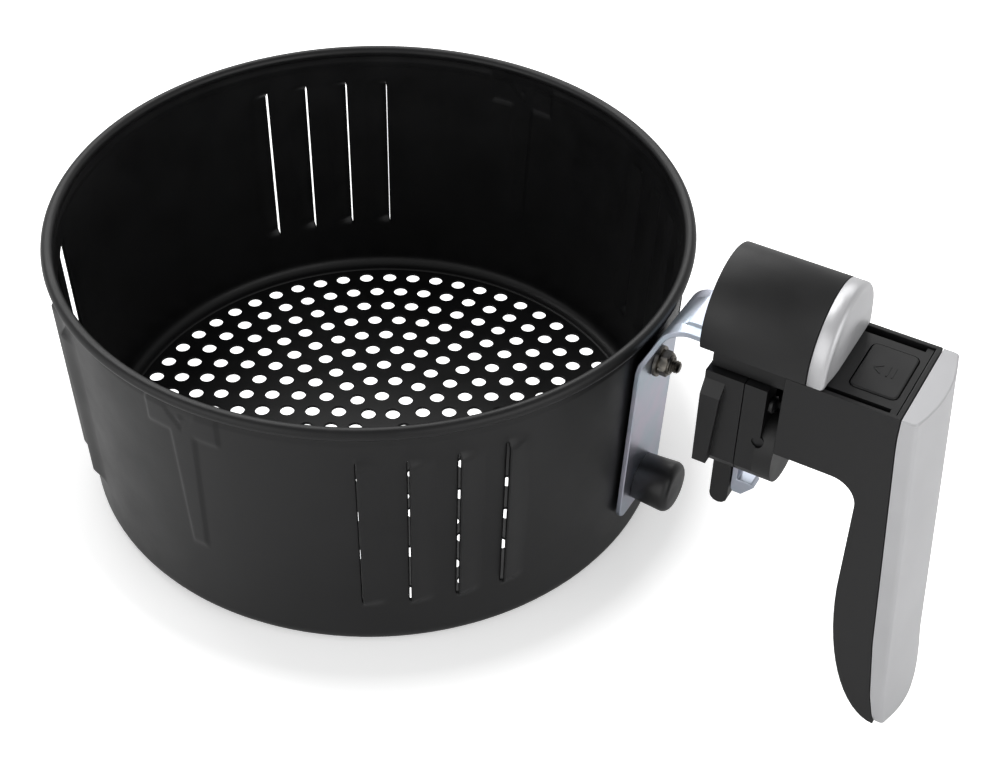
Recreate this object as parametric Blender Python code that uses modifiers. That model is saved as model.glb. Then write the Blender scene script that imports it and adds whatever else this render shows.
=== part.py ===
"""Frying basket of a small air fryer, with its release handle.

The basket stands on its floor, whose underside is z = 0, and the origin is on the basket's axis.
+X points from the basket to the handle. All sizes below are in millimetres, and every mesh is
written in metres.
"""

import math

import bmesh
import bpy
from mathutils import Matrix

MM = 0.001

# Clearances
GAP = 0.3  # between fixed pieces that touch
SLIDE_GAP = 0.5  # between a moving piece and its guide
HOLE_GAP = 0.3  # between a screw or pin and its hole, on the radius
CUT_PAST = 6.0  # how far a cutter runs on past what it cuts

# Basket, drawn and punched from sheet
RIM_RADIUS = 100.0
RIM_HEIGHT = 92.0
BEAD_RADIUS = 1.9
SHEET = 1.0
WALL_TAPER = 3.0
BOTTOM_FILLET = 5.0
FLOOR_FLANGE = 1.3
HOLE_RADIUS = 2.5
HOLE_PITCH = 8.384
HOLE_MARGIN = 1.0
HOLE_ROW_ANGLE = 30.0
HOLE_SIDES = 6
WALL_TOP_RADIUS = RIM_RADIUS - BEAD_RADIUS - SHEET / 2
WALL_TOP = RIM_HEIGHT - 2 * BEAD_RADIUS - SHEET
WALL_BOTTOM_RADIUS = WALL_TOP_RADIUS - WALL_TAPER
WALL_SLOPE = WALL_TAPER / (WALL_TOP - BOTTOM_FILLET)
WALL_LEAN = math.atan(WALL_SLOPE)
FLOOR_RADIUS = WALL_BOTTOM_RADIUS - BOTTOM_FILLET - FLOOR_FLANGE
HOLE_RINGS = int((FLOOR_RADIUS - GAP - HOLE_MARGIN - HOLE_RADIUS) / HOLE_PITCH)

# Louvres in the wall
LOUVRES_PER_GROUP = 4
LOUVRE_STEP_ANGLE = 8.4
LOUVRE_GROUP_ANGLES = (45.0, 135.0, 225.0, 315.0)
LOUVRE_WIDTH = 8.0
LOUVRE_BOTTOM = 18.0
LOUVRE_TOP = RIM_HEIGHT - 12.0
LOUVRE_DEPTH = 1.8

# Bracket strap
STRAP_THICK = 1.6
STRAP_HALF = 13.0
STRAP_TAIL_HALF = 8.5
STRAP_BOTTOM = 18.0
STRAP_KINK_HEIGHT = RIM_HEIGHT - 11.0
STRAP_LEAN = 24.6
STRAP_NECK_HEIGHT = RIM_HEIGHT + 6.0
STRAP_BEND_RADIUS = 9.0
STRAP_SHOULDER = RIM_RADIUS + 18.5
STRAP_SHOULDER_SLANT = 1.0
STRAP_CORNER = 4.0
STRAP_TOP_FACE = STRAP_NECK_HEIGHT + STRAP_THICK / 2
STRAP_LOW_FACE = STRAP_NECK_HEIGHT - STRAP_THICK / 2

# Fasteners of the bracket and the bumper
BRACKET_SCREW_HEIGHT = STRAP_KINK_HEIGHT - 5.4
BRACKET_SCREW_RADIUS = 2.0
STUD_CHAMFER = 0.4
SCREW_HEAD_RADIUS = 3.8
SCREW_HEAD_THICK = 2.2
SCREW_HEAD_EDGE = 1.1
NUT_FLATS = 7.0
NUT_THICK = 3.2
WASHER_RADIUS = 4.8
WASHER_THICK = 0.9
STUD_OUT = 2.4
BUMPER_HEIGHT = 27.6
BUMPER_RADIUS = 8.0
BUMPER_LENGTH = 12.0
BUMPER_EDGE = 2.2
BUMPER_CROWN = 0.3
BUMPER_SCREW_DEPTH = 6.0

# Arm of the handle, and the neck that the strap is screwed to
NECK_FRONT = STRAP_SHOULDER + 0.7
NECK_HALF = STRAP_TAIL_HALF + 1.0
NECK_THICK = 7.2
NECK_TOP = STRAP_LOW_FACE - GAP
NECK_BOTTOM = NECK_TOP - NECK_THICK
BODY_HALF = 17.2
BODY_FRONT = NECK_FRONT + 23.8
BODY_TOP = STRAP_NECK_HEIGHT + 3.0
BODY_WALL = 1.5
FRONT_WALL = 2.6
ARM_LENGTH = 32.5
ARM_HEIGHT = 28.0
ARM_FLOOR = 2.2
ARM_REAR = BODY_FRONT + ARM_LENGTH
ARM_BOTTOM = BODY_TOP - ARM_HEIGHT
STRAP_END = BODY_FRONT + 9.0
NECK_SCREW_RADIUS = 1.7
NECK_SCREW_HEAD_RADIUS = 3.0
NECK_SCREW_HEAD_THICK = 1.6
NECK_SCREW_HEAD_EDGE = 0.7
NECK_SCREW_DEPTH = 5.5
NECK_SCREW_PLACES = (("neck_screw_front", NECK_FRONT + 7.8), ("neck_screw_rear", STRAP_END - 3.5))
SPRING_SHELF_DROP = 10.5
SPRING_SHELF_THICK = 2.0
SPRING_SHELF_TOP = BODY_TOP - SPRING_SHELF_DROP
POCKET_HALF = BODY_HALF - BODY_WALL
POCKET_FRONT = BODY_FRONT + FRONT_WALL
POCKET_REAR = ARM_REAR - BODY_WALL

# Grip
FINGER_FACE = ARM_REAR - 7.2
FINGER_CORNER = 8.0
GRIP_LENGTH = 120.0
GRIP_CURVE_LENGTH = 56.0
GRIP_WALL = 2.4
GRIP_BOTTOM = BODY_TOP - GRIP_LENGTH
GRIP_REAR_BOTTOM = ARM_REAR + 12.5
PARTING = (
    (ARM_REAR, BODY_TOP - 8.0),
    (ARM_REAR + 6.6, GRIP_BOTTOM + 34.0),
    (ARM_REAR + 9.5, GRIP_BOTTOM + 12.0),
    (GRIP_REAR_BOTTOM, GRIP_BOTTOM),
)

# Silver back trim
TRIM_TOP_WIDTH = 4.9
TRIM_LEAN = 0.083
TRIM_FOOT = (GRIP_REAR_BOTTOM + 4.6, GRIP_BOTTOM - 1.0)
TRIM_BEND = 20.0  # height of the stretch at its foot that curves outward
TRIM_CROWN = 2.4
TRIM_WALL = 1.8
TRIM_ROWS = 4
TRIM_STRIPS = 8

# Deck plate and the sliding guard's slots in it
DECK_THICK = 1.3
DECK_TOP = BODY_TOP - 0.6
DECK_LOW = DECK_TOP - DECK_THICK
DECK_FRONT = NECK_FRONT + 2.3
SLOT_WIDTH = 2.2
DECK_HALF = POCKET_HALF - SLOT_WIDTH

# Sliding guard
GUARD_TRAVEL = 16.0
GUARD_RADIUS = BODY_HALF + 0.8
GUARD_BOTTOM = BODY_TOP + 0.6
GUARD_AXIS_HEIGHT = GUARD_BOTTOM + 3.3
GUARD_WALL = 1.8
GUARD_HOOD_LENGTH = 31.0
GUARD_CAP_LENGTH = 4.8
GUARD_DOME = 1.9
DOME_STEPS = ((1.0, 0.6), (1.9, 0.4))  # inset, and share of the dome's height
GUARD_FRONT = NECK_FRONT - 1.4
GUARD_JOINT = GUARD_FRONT + GUARD_HOOD_LENGTH
GUARD_REAR = GUARD_JOINT + GAP + GUARD_CAP_LENGTH
CARRIAGE_LENGTH = 6.5
CARRIAGE_REAR = GUARD_REAR - 1.0
CARRIAGE_FRONT = CARRIAGE_REAR - CARRIAGE_LENGTH
CARRIAGE_PLATE = 1.6
LEG_THICK = 1.4
LEG_BOTTOM = NECK_TOP + GAP
LEG_HOOK = 1.5
LEG_HOOK_EDGE = 0.4
LEG_HOOK_DROP = 1.6
SLOT_END = CARRIAGE_REAR + GUARD_TRAVEL + 2.9

# Button
POST_X = ARM_REAR - 10.5
POST_RADIUS = 2.4
BUTTON_FRONT = POST_X - 6.8
BUTTON_REAR = POST_X + 6.7
BUTTON_HALF = DECK_HALF - 3.5
BUTTON_TOP = DECK_TOP + 0.4
BUTTON_THICK = 3.2
BUTTON_LOW = BUTTON_TOP - BUTTON_THICK
BUTTON_CORNER = 1.8

# Latch housing
HOUSING_FRONT = STRAP_SHOULDER
HOUSING_SPLIT = HOUSING_FRONT + 11.9
HOUSING_REAR = HOUSING_SPLIT + 6.8
DRUM_REAR = HOUSING_REAR + 4.6
HOUSING_HALF = 12.0
HOUSING_TOP = NECK_BOTTOM - GAP
HOUSING_ROUND_HEIGHT = HOUSING_TOP - 25.4
HOUSING_ROUND_RADIUS = 13.2
HOUSING_FRONT_WALL = 1.1
HOUSING_ROOF = 4.2
RIB_OUT = 2.5
RIB_ROOT = 0.5
RIB_LENGTH = 6.0
RIB_TOP = HOUSING_TOP - 6.9
RIB_BOTTOM = HOUSING_TOP - 32.4
RIB_TAPER = 1.7
HOUSING_SCREW_HEIGHT = HOUSING_TOP - 7.4
HOUSING_SCREW_OFFSET = 7.8
HOUSING_SCREW_RADIUS = 1.3
HOUSING_SCREW_HEAD = 2.6
HOUSING_SCREW_HEAD_THICK = 1.8
HOUSING_SCREW_HEAD_EDGE = 0.7
HOUSING_SCREW_LENGTH = 15.0

# Lever on its pin, and the catch
LEVER_HALF = 3.0
SLOT_HALF = LEVER_HALF + SLIDE_GAP
PIVOT_X = HOUSING_REAR - 0.7
PIVOT_HEIGHT = HOUSING_TOP - 19.4
PIVOT_RADIUS = 1.5
PIVOT_BOSS = 3.7
PIN_SHORT = 1.0
TONGUE_FRONT = HOUSING_FRONT + 2.8
TONGUE_WIDTH = 5.8
TONGUE_REAR = TONGUE_FRONT + TONGUE_WIDTH
TONGUE_BOTTOM = PIVOT_HEIGHT - 38.0
LEVER_ARM_TOP = SPRING_SHELF_TOP - SPRING_SHELF_THICK - 1.5
LEVER_ARM_THICK = 3.0
LEVER_ARM_LOW = LEVER_ARM_TOP - LEVER_ARM_THICK
LEVER_ARM_END = POST_X + 3.5
LEVER_BACK = (  # underside, from the tongue up to the boss
    (TONGUE_REAR, PIVOT_HEIGHT - 12.0),
    (PIVOT_X - 2.0, PIVOT_HEIGHT - 7.5),
)
LEVER_ELBOW_LOW = ((PIVOT_X + 6.2, PIVOT_HEIGHT + 7.0), (BODY_FRONT + 8.5, LEVER_ARM_LOW))
LEVER_ELBOW_TOP = (
    (BODY_FRONT + 6.5, LEVER_ARM_TOP),
    (PIVOT_X + 5.0, LEVER_ARM_TOP - 4.5),
    (PIVOT_X - 3.5, PIVOT_HEIGHT + 3.2),
)
LEVER_FACE = ((TONGUE_FRONT + 2.0, PIVOT_HEIGHT - 8.0), (TONGUE_FRONT, PIVOT_HEIGHT - 20.0))
CATCH_HALF = 2.4
CATCH_SHANK = 1.8
CATCH_TOP = PIVOT_HEIGHT - 13.0
CATCH_NOSE_REACH = 7.4
CATCH_NOSE_TOP = PIVOT_HEIGHT - 26.5
CATCH_NOSE_BOTTOM = PIVOT_HEIGHT - 32.0
CATCH_EDGE = 1.0
RIVET_HEIGHT = PIVOT_HEIGHT - 18.0
RIVET_RADIUS = 1.2
RIVET_HEAD = 0.9
RIVET_HEAD_THICK = 0.8
RIVET_DEPTH = 4.0

# Springs
LEVER_SPRING_X = POST_X - 6.0
LEVER_SPRING_RADIUS = 2.6
BUTTON_SPRING_RADIUS = 4.0
SPRING_WIRE = 0.7
SPRING_TURNS = 4.0
SPRING_POINTS = 10  # in each turn


def wall_radius(height):
    """Outer radius of the wall at a height."""
    return WALL_BOTTOM_RADIUS + (height - BOTTOM_FILLET) * WALL_SLOPE


def clear_scene():
    for old in list(bpy.data.objects):
        bpy.data.objects.remove(old, do_unlink=True)


def new_collection(name):
    collection = bpy.data.collections.new(name)
    bpy.context.scene.collection.children.link(collection)
    return collection


def new_material(name, colour, roughness, metallic=0.0):
    material = bpy.data.materials.new(name)
    material.use_nodes = True
    shader = material.node_tree.nodes["Principled BSDF"]
    shader.inputs["Base Color"].default_value = (*colour, 1.0)
    shader.inputs["Roughness"].default_value = roughness
    shader.inputs["Metallic"].default_value = metallic
    material.diffuse_color = (*colour, 1.0)
    return material


clear_scene()
PARTS = new_collection("air_fryer_basket")
CUTTERS = new_collection("cutters")

COATED_STEEL = new_material("coated_steel", (0.025, 0.025, 0.027), 0.42)
ZINC = new_material("zinc_plated_steel", (0.62, 0.65, 0.68), 0.28, 1.0)
BLACK_PLASTIC = new_material("black_plastic", (0.022, 0.022, 0.023), 0.5)
SILVER_PLASTIC = new_material("silver_painted_plastic", (0.56, 0.56, 0.57), 0.36, 0.5)
RUBBER = new_material("black_rubber", (0.015, 0.015, 0.016), 0.6)
SCREW_STEEL = new_material("screw_steel", (0.3, 0.29, 0.27), 0.38, 1.0)


def finish(name, mesh, material, collection=PARTS):
    """An object for a mesh that is already in place, in metres, with its faces turned outward."""
    bm = bmesh.new()
    bm.from_mesh(mesh)
    bmesh.ops.remove_doubles(bm, verts=bm.verts, dist=1e-6)
    bmesh.ops.recalc_face_normals(bm, faces=bm.faces)
    bm.to_mesh(mesh)
    bm.free()
    obj = bpy.data.objects.new(name, mesh)
    collection.objects.link(obj)
    if material:
        mesh.materials.clear()
        mesh.materials.append(material)
    if collection is CUTTERS:
        obj.hide_render = True
        obj.display_type = "WIRE"
    return obj


def slab(name, outlines, low, high, plane, material=None, collection=PARTS):
    """A flat outline, with any holes, given thickness from low to high along the third axis."""
    curve = bpy.data.curves.new(name, "CURVE")
    curve.dimensions = "2D"
    curve.fill_mode = "BOTH"
    curve.extrude = (high - low) / 2 * MM
    for outline in outlines:
        spline = curve.splines.new("POLY")
        spline.points.add(len(outline) - 1)
        for point, (u, v) in zip(spline.points, outline):
            point.co = (u * MM, v * MM, 0, 1)
        spline.use_cyclic_u = True
    guide = bpy.data.objects.new(name + "_outline", curve)
    CUTTERS.objects.link(guide)
    bpy.context.view_layer.update()
    graph = bpy.context.evaluated_depsgraph_get()
    mesh = bpy.data.meshes.new_from_object(guide.evaluated_get(graph))
    bpy.data.objects.remove(guide, do_unlink=True)
    middle = (low + high) / 2 * MM
    turns = {
        "XY": Matrix(((1, 0, 0, 0), (0, 1, 0, 0), (0, 0, 1, middle), (0, 0, 0, 1))),
        "XZ": Matrix(((1, 0, 0, 0), (0, 0, -1, middle), (0, 1, 0, 0), (0, 0, 0, 1))),
        "YZ": Matrix(((0, 0, 1, middle), (1, 0, 0, 0), (0, 1, 0, 0), (0, 0, 0, 1))),
    }
    mesh.transform(turns[plane])
    return finish(name, mesh, material, collection)


def box(name, low, high, material=None, collection=PARTS):
    bm = bmesh.new()
    bmesh.ops.create_cube(bm, size=1.0)
    for vert in bm.verts:
        vert.co = [MM * (lo if co < 0 else hi) for co, lo, hi in zip(vert.co, low, high)]
    mesh = bpy.data.meshes.new(name)
    bm.to_mesh(mesh)
    bm.free()
    return finish(name, mesh, material, collection)


def rod(name, radius, start, end, turn, material=None, collection=PARTS, sides=20):
    """A round rod along the turned Z axis, from start to end on it."""
    bm = bmesh.new()
    bmesh.ops.create_cone(
        bm,
        cap_ends=True,
        segments=sides,
        radius1=radius * MM,
        radius2=radius * MM,
        depth=(end - start) * MM,
        matrix=turn @ Matrix.Translation((0, 0, (start + end) / 2 * MM)),
    )
    mesh = bpy.data.meshes.new(name)
    bm.to_mesh(mesh)
    bm.free()
    return finish(name, mesh, material, collection)


def turned(name, profile, material, turn=Matrix(), steps=32, collection=PARTS):
    """A closed profile of (radius, height) points swept round the turned Z axis with a Screw."""
    mesh = bpy.data.meshes.new(name)
    points = [(radius * MM, 0, height * MM) for radius, height in profile]
    count = len(points)
    on_axis = profile[0][0] == 0 and profile[-1][0] == 0
    edges = [(i, (i + 1) % count) for i in range(count - on_axis)]
    mesh.from_pydata(points, edges, [])
    mesh.materials.append(material)
    obj = bpy.data.objects.new(name, mesh)
    collection.objects.link(obj)
    obj.matrix_world = turn
    screw = obj.modifiers.new("Screw", "SCREW")
    screw.steps = steps
    screw.render_steps = steps
    screw.use_merge_vertices = True
    screw.merge_threshold = 1e-6
    return obj


def boolean(obj, other, operation="DIFFERENCE"):
    modifier = obj.modifiers.new(other.name, "BOOLEAN")
    modifier.operation = operation
    modifier.solver = "EXACT"
    modifier.object = other


def cut_box(obj, name, low, high):
    boolean(obj, box(name, low, high, None, CUTTERS))


def cut_rod(obj, name, radius, start, end, turn, sides=20):
    boolean(obj, rod(name, radius, start, end, turn, None, CUTTERS, sides))


def arc(centre, radius, start, end, count):
    """Points on an arc, from start to end in degrees, both ends included."""
    steps = [math.radians(start + (end - start) * i / count) for i in range(count + 1)]
    return [(centre[0] + radius * math.cos(a), centre[1] + radius * math.sin(a)) for a in steps]


def rounded_box_outline(low, high, radius, count=3):
    corners = (
        ((high[0] - radius, high[1] - radius), 0),
        ((low[0] + radius, high[1] - radius), 90),
        ((low[0] + radius, low[1] + radius), 180),
        ((high[0] - radius, low[1] + radius), 270),
    )
    return [point for centre, start in corners for point in arc(centre, radius, start, start + 90, count)]


def on_wall(height, angle=0.0):
    """A frame on the wall's outer face at a height, whose Z axis points out of the wall."""
    place = Matrix.Translation((wall_radius(height) * MM, 0, height * MM))
    face = Matrix.Rotation(math.pi / 2 + WALL_LEAN, 4, "Y")
    return Matrix.Rotation(math.radians(angle), 4, "Z") @ place @ face


def upright(x, y=0.0):
    return Matrix.Translation((x * MM, y * MM, 0))


def along_x(y, height):
    return Matrix.Translation((0, y * MM, height * MM)) @ Matrix.Rotation(math.pi / 2, 4, "Y")


def along_y(x, height):
    return Matrix.Translation((x * MM, 0, height * MM)) @ Matrix.Rotation(-math.pi / 2, 4, "X")


def make_basket_wall():
    """Drawn wall with its rolled rim and bottom flange, and louvres pressed outward."""
    corner = WALL_BOTTOM_RADIUS - BOTTOM_FILLET
    outside = arc((corner, BOTTOM_FILLET), BOTTOM_FILLET, -90, 0, 3)
    bead = arc((RIM_RADIUS - BEAD_RADIUS, RIM_HEIGHT - BEAD_RADIUS), BEAD_RADIUS, -100, 215, 9)
    inside = arc((corner, BOTTOM_FILLET), BOTTOM_FILLET - SHEET, 0, -90, 3)
    profile = [(FLOOR_RADIUS, 0)] + outside + [(WALL_TOP_RADIUS, WALL_TOP)] + bead
    profile += [(WALL_TOP_RADIUS - SHEET, WALL_TOP)] + inside + [(FLOOR_RADIUS, SHEET)]
    wall = turned("basket_wall", profile[::-1], COATED_STEEL, steps=64)
    windows = bmesh.new()
    flaps = bmesh.new()
    middle = (LOUVRE_BOTTOM + LOUVRE_TOP) / 2
    length = LOUVRE_TOP - LOUVRE_BOTTOM
    tilt = math.atan(LOUVRE_DEPTH / LOUVRE_WIDTH)
    for group in LOUVRE_GROUP_ANGLES:
        for index in range(LOUVRES_PER_GROUP):
            angle = group + (index - (LOUVRES_PER_GROUP - 1) / 2) * LOUVRE_STEP_ANGLE
            frame = on_wall(middle, angle)
            window = bmesh.ops.create_cube(windows, size=MM)["verts"]
            window_place = Matrix.Diagonal((length, LOUVRE_WIDTH, CUT_PAST, 1))
            bmesh.ops.transform(windows, matrix=frame @ window_place, verts=window)
            flap = bmesh.ops.create_cube(flaps, size=MM)["verts"]
            size = Matrix.Diagonal((length + SHEET, LOUVRE_WIDTH + SHEET, SHEET, 1))
            hinge = Matrix.Translation((0, (LOUVRE_WIDTH + SHEET) / 2 * MM, -SHEET / 2 * MM))
            lean = Matrix.Rotation(-tilt, 4, "X")
            back = Matrix.Translation((0, -(LOUVRE_WIDTH + SHEET) / 2 * MM, 0))
            bmesh.ops.transform(flaps, matrix=frame @ hinge @ lean @ back @ size, verts=flap)
    for bm, name, operation in (
        (windows, "louvre_windows", "DIFFERENCE"),
        (flaps, "louvre_flaps", "UNION"),
    ):
        mesh = bpy.data.meshes.new(name)
        bm.to_mesh(mesh)
        bm.free()
        boolean(wall, finish(name, mesh, None, CUTTERS), operation)
    hole = BRACKET_SCREW_RADIUS + HOLE_GAP
    for name, height in (("wall_bracket_hole", BRACKET_SCREW_HEIGHT), ("wall_bumper_hole", BUMPER_HEIGHT)):
        cut_rod(wall, name, hole, -CUT_PAST, CUT_PAST, on_wall(height), 16)


def make_perforated_floor():
    """Flat disc with rings of punched holes, six more in each ring than in the last."""
    outlines = [arc((0, 0), FLOOR_RADIUS - GAP, 0, 360, 48)[:-1]]
    for ring in range(1, HOLE_RINGS + 1):
        for index in range(6 * ring):
            turn = HOLE_ROW_ANGLE + 60.0 * index / ring
            angle = math.radians(turn)
            centre = (ring * HOLE_PITCH * math.cos(angle), ring * HOLE_PITCH * math.sin(angle))
            outlines.append(arc(centre, HOLE_RADIUS, turn, turn + 360, HOLE_SIDES)[:-1])
    slab("perforated_floor", outlines, 0, SHEET, "XY", COATED_STEEL)


def strap_path():
    """Centre line of the strap in the XZ plane, with its half width at each point."""
    stand_off = GAP + STRAP_THICK / 2
    lean = math.radians(STRAP_LEAN)
    kink = (wall_radius(STRAP_KINK_HEIGHT) + stand_off, STRAP_KINK_HEIGHT)
    corner_x = kink[0] + (STRAP_NECK_HEIGHT - kink[1]) * math.tan(lean)
    turn = math.pi / 2 - lean
    tangent = STRAP_BEND_RADIUS * math.tan(turn / 2)
    centre = (corner_x + tangent, STRAP_NECK_HEIGHT - STRAP_BEND_RADIUS)
    path = []
    for step in range(4):
        inset = STRAP_CORNER * (1 - math.sin(math.pi / 6 * step))
        height = STRAP_BOTTOM + STRAP_CORNER * (1 - math.cos(math.pi / 6 * step))
        path.append((wall_radius(height) + stand_off, height, STRAP_HALF - inset))
    path.append((*kink, STRAP_HALF))
    bend = arc(centre, STRAP_BEND_RADIUS, 90 + math.degrees(turn), 90, 6)
    path += [(x, z, STRAP_HALF) for x, z in bend]
    path.append((STRAP_SHOULDER, STRAP_NECK_HEIGHT, STRAP_HALF))
    path.append((STRAP_SHOULDER + STRAP_SHOULDER_SLANT, STRAP_NECK_HEIGHT, STRAP_TAIL_HALF))
    path.append((STRAP_END, STRAP_NECK_HEIGHT, STRAP_TAIL_HALF))
    return path


def make_handle_bracket():
    """Bent steel strap, from the wall over the rim and into the handle."""
    path = strap_path()
    points = [(x * MM, side * half * MM, z * MM) for x, z, half in path for side in (-1, 1)]
    faces = [(2 * i, 2 * i + 2, 2 * i + 3, 2 * i + 1) for i in range(len(path) - 1)]
    mesh = bpy.data.meshes.new("handle_bracket")
    mesh.from_pydata(points, [], faces)
    mesh.materials.append(ZINC)
    strap = bpy.data.objects.new("handle_bracket", mesh)
    PARTS.objects.link(strap)
    solidify = strap.modifiers.new("Solidify", "SOLIDIFY")
    solidify.thickness = STRAP_THICK * MM
    solidify.offset = 0
    hole = BRACKET_SCREW_RADIUS + HOLE_GAP
    for name, height in (("strap_screw_hole", BRACKET_SCREW_HEIGHT), ("strap_bumper_hole", BUMPER_HEIGHT)):
        cut_rod(strap, name, hole, -CUT_PAST, CUT_PAST, on_wall(height), 16)
    hole = NECK_SCREW_RADIUS + HOLE_GAP
    for name, x in NECK_SCREW_PLACES:
        cut_rod(strap, name + "_strap_hole", hole, NECK_BOTTOM, DECK_TOP, upright(x), 12)


def make_bracket_fasteners():
    """Pan-head screw, washer and lock nut through the wall and the strap."""
    frame = on_wall(BRACKET_SCREW_HEIGHT)
    face = GAP + STRAP_THICK
    washer_top = face + GAP + WASHER_THICK
    nut_top = washer_top + GAP + NUT_THICK
    head_low = -SHEET - GAP - SCREW_HEAD_THICK
    profile = [
        (0, nut_top + STUD_OUT),
        (BRACKET_SCREW_RADIUS - STUD_CHAMFER, nut_top + STUD_OUT),
        (BRACKET_SCREW_RADIUS, nut_top + STUD_OUT - STUD_CHAMFER),
        (BRACKET_SCREW_RADIUS, -SHEET - GAP),
        (SCREW_HEAD_RADIUS, -SHEET - GAP),
        (SCREW_HEAD_RADIUS, head_low + SCREW_HEAD_EDGE),
        (SCREW_HEAD_RADIUS - SCREW_HEAD_EDGE, head_low),
        (0, head_low),
    ]
    turned("bracket_screw", profile, SCREW_STEEL, frame, 16)
    bore = BRACKET_SCREW_RADIUS + HOLE_GAP
    ring = [(WASHER_RADIUS, washer_top), (WASHER_RADIUS, face + GAP), (bore, face + GAP), (bore, washer_top)]
    turned("bracket_washer", ring, SCREW_STEEL, frame, 20)
    corner = NUT_FLATS / math.sqrt(3)
    nut = rod("bracket_nut", corner, washer_top + GAP, nut_top, frame, SCREW_STEEL, PARTS, 6)
    cut_rod(nut, "nut_bore", bore, 0, nut_top + CUT_PAST, frame, 16)


def make_bumper():
    """Rubber stop on the foot of the strap, held by a screw from inside the basket."""
    frame = on_wall(BUMPER_HEIGHT)
    base = 2 * GAP + STRAP_THICK
    tip = base + BUMPER_LENGTH
    bore = BRACKET_SCREW_RADIUS + HOLE_GAP
    edge = arc((BUMPER_RADIUS - BUMPER_EDGE, tip - BUMPER_EDGE), BUMPER_EDGE, 80, 0, 4)
    profile = [(0, tip + BUMPER_CROWN)] + edge + [(BUMPER_RADIUS, base), (bore, base)]
    profile += [(bore, base + BUMPER_SCREW_DEPTH + HOLE_GAP), (0, base + BUMPER_SCREW_DEPTH + HOLE_GAP)]
    turned("bumper", profile, RUBBER, frame, 24)
    head_top = -SHEET - GAP
    screw = [
        (0, base + BUMPER_SCREW_DEPTH),
        (BRACKET_SCREW_RADIUS, base + BUMPER_SCREW_DEPTH),
        (BRACKET_SCREW_RADIUS, head_top),
        (SCREW_HEAD_RADIUS, head_top),
        (SCREW_HEAD_RADIUS, head_top - SCREW_HEAD_THICK + SCREW_HEAD_EDGE),
        (SCREW_HEAD_RADIUS - SCREW_HEAD_EDGE, head_top - SCREW_HEAD_THICK),
        (0, head_top - SCREW_HEAD_THICK),
    ]
    turned("bumper_screw", screw, SCREW_STEEL, frame, 16)


def grip_front(inset, count=16):
    """Quarter ellipse that runs the finger face into the foot of the grip."""
    reach = GRIP_REAR_BOTTOM - FINGER_FACE - inset
    drop = GRIP_CURVE_LENGTH - inset
    top = GRIP_BOTTOM + GRIP_CURVE_LENGTH
    angles = [math.pi / 2 * i / count for i in range(count + 1)]
    return [(GRIP_REAR_BOTTOM - reach * math.cos(a), top - drop * math.sin(a)) for a in angles]


def parting_line(shift):
    """Line in side view where the black body meets the silver trim, top to bottom."""
    return [(ARM_REAR + shift, BODY_TOP)] + [(x + shift, z) for x, z in PARTING]


def make_handle_body():
    """Hollow moulding: the arm behind the basket, the neck under the guard and the grip."""
    corner = (FINGER_FACE - FINGER_CORNER, ARM_BOTTOM - FINGER_CORNER)
    outline = [(BODY_FRONT, BODY_TOP), (BODY_FRONT, ARM_BOTTOM)]
    outline += arc(corner, FINGER_CORNER, 90, 0, 10) + grip_front(0)
    outline += parting_line(0)[::-1][1:]
    body = slab("handle_body", [outline], -BODY_HALF, BODY_HALF, "XZ", BLACK_PLASTIC)
    cut_box(
        body,
        "arm_pocket",
        (POCKET_FRONT, -POCKET_HALF, SPRING_SHELF_TOP),
        (POCKET_REAR, POCKET_HALF, BODY_TOP + CUT_PAST),
    )
    cut_box(
        body,
        "lever_bay",
        (POCKET_FRONT, -POCKET_HALF, ARM_BOTTOM + ARM_FLOOR),
        (POCKET_REAR, POCKET_HALF, SPRING_SHELF_TOP - SPRING_SHELF_THICK),
    )
    neck = box(
        "neck_block",
        (NECK_FRONT, -NECK_HALF, NECK_BOTTOM),
        (STRAP_END + GAP, NECK_HALF, NECK_TOP),
        None,
        CUTTERS,
    )
    boolean(body, neck, "UNION")
    cut_box(
        body,
        "strap_notch",
        (BODY_FRONT - 1, -NECK_HALF - SLIDE_GAP, NECK_TOP),
        (POCKET_FRONT + 1, NECK_HALF + SLIDE_GAP, BODY_TOP + CUT_PAST),
    )
    cut_box(
        body,
        "lever_window",
        (BODY_FRONT - 1, -SLOT_HALF, ARM_BOTTOM + ARM_FLOOR),
        (POCKET_FRONT + 1, SLOT_HALF, NECK_BOTTOM),
    )
    cut_rod(body, "post_hole", POST_RADIUS + SLIDE_GAP, LEVER_ARM_TOP, SPRING_SHELF_TOP + 1, upright(POST_X))
    front = grip_front(GRIP_WALL)
    hollow = [(FINGER_FACE + GRIP_WALL, ARM_BOTTOM - GRIP_WALL)] + front[:-2]
    past = GRIP_REAR_BOTTOM + CUT_PAST
    hollow += [(past, front[-3][1]), (past, ARM_BOTTOM - GRIP_WALL)]
    grip_half = BODY_HALF - GRIP_WALL
    boolean(body, slab("grip_hollow", [hollow], -grip_half, grip_half, "XZ", None, CUTTERS))
    hole = NECK_SCREW_RADIUS + HOLE_GAP
    hole_bottom = STRAP_LOW_FACE - NECK_SCREW_DEPTH - GAP
    for name, x in NECK_SCREW_PLACES:
        cut_rod(body, name + "_neck_hole", hole, hole_bottom, NECK_TOP + 1, upright(x), 12)


def trim_ridge(height):
    """Where the trim's side band meets its crowned back, at a height."""
    straight = ARM_REAR + TRIM_TOP_WIDTH + TRIM_LEAN * (BODY_TOP - height)
    foot = ARM_REAR + TRIM_TOP_WIDTH + TRIM_LEAN * (BODY_TOP - TRIM_FOOT[1])
    below = max(0.0, TRIM_FOOT[1] + TRIM_BEND - height) / TRIM_BEND
    return straight + (TRIM_FOOT[0] - foot) * below**2


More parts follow.
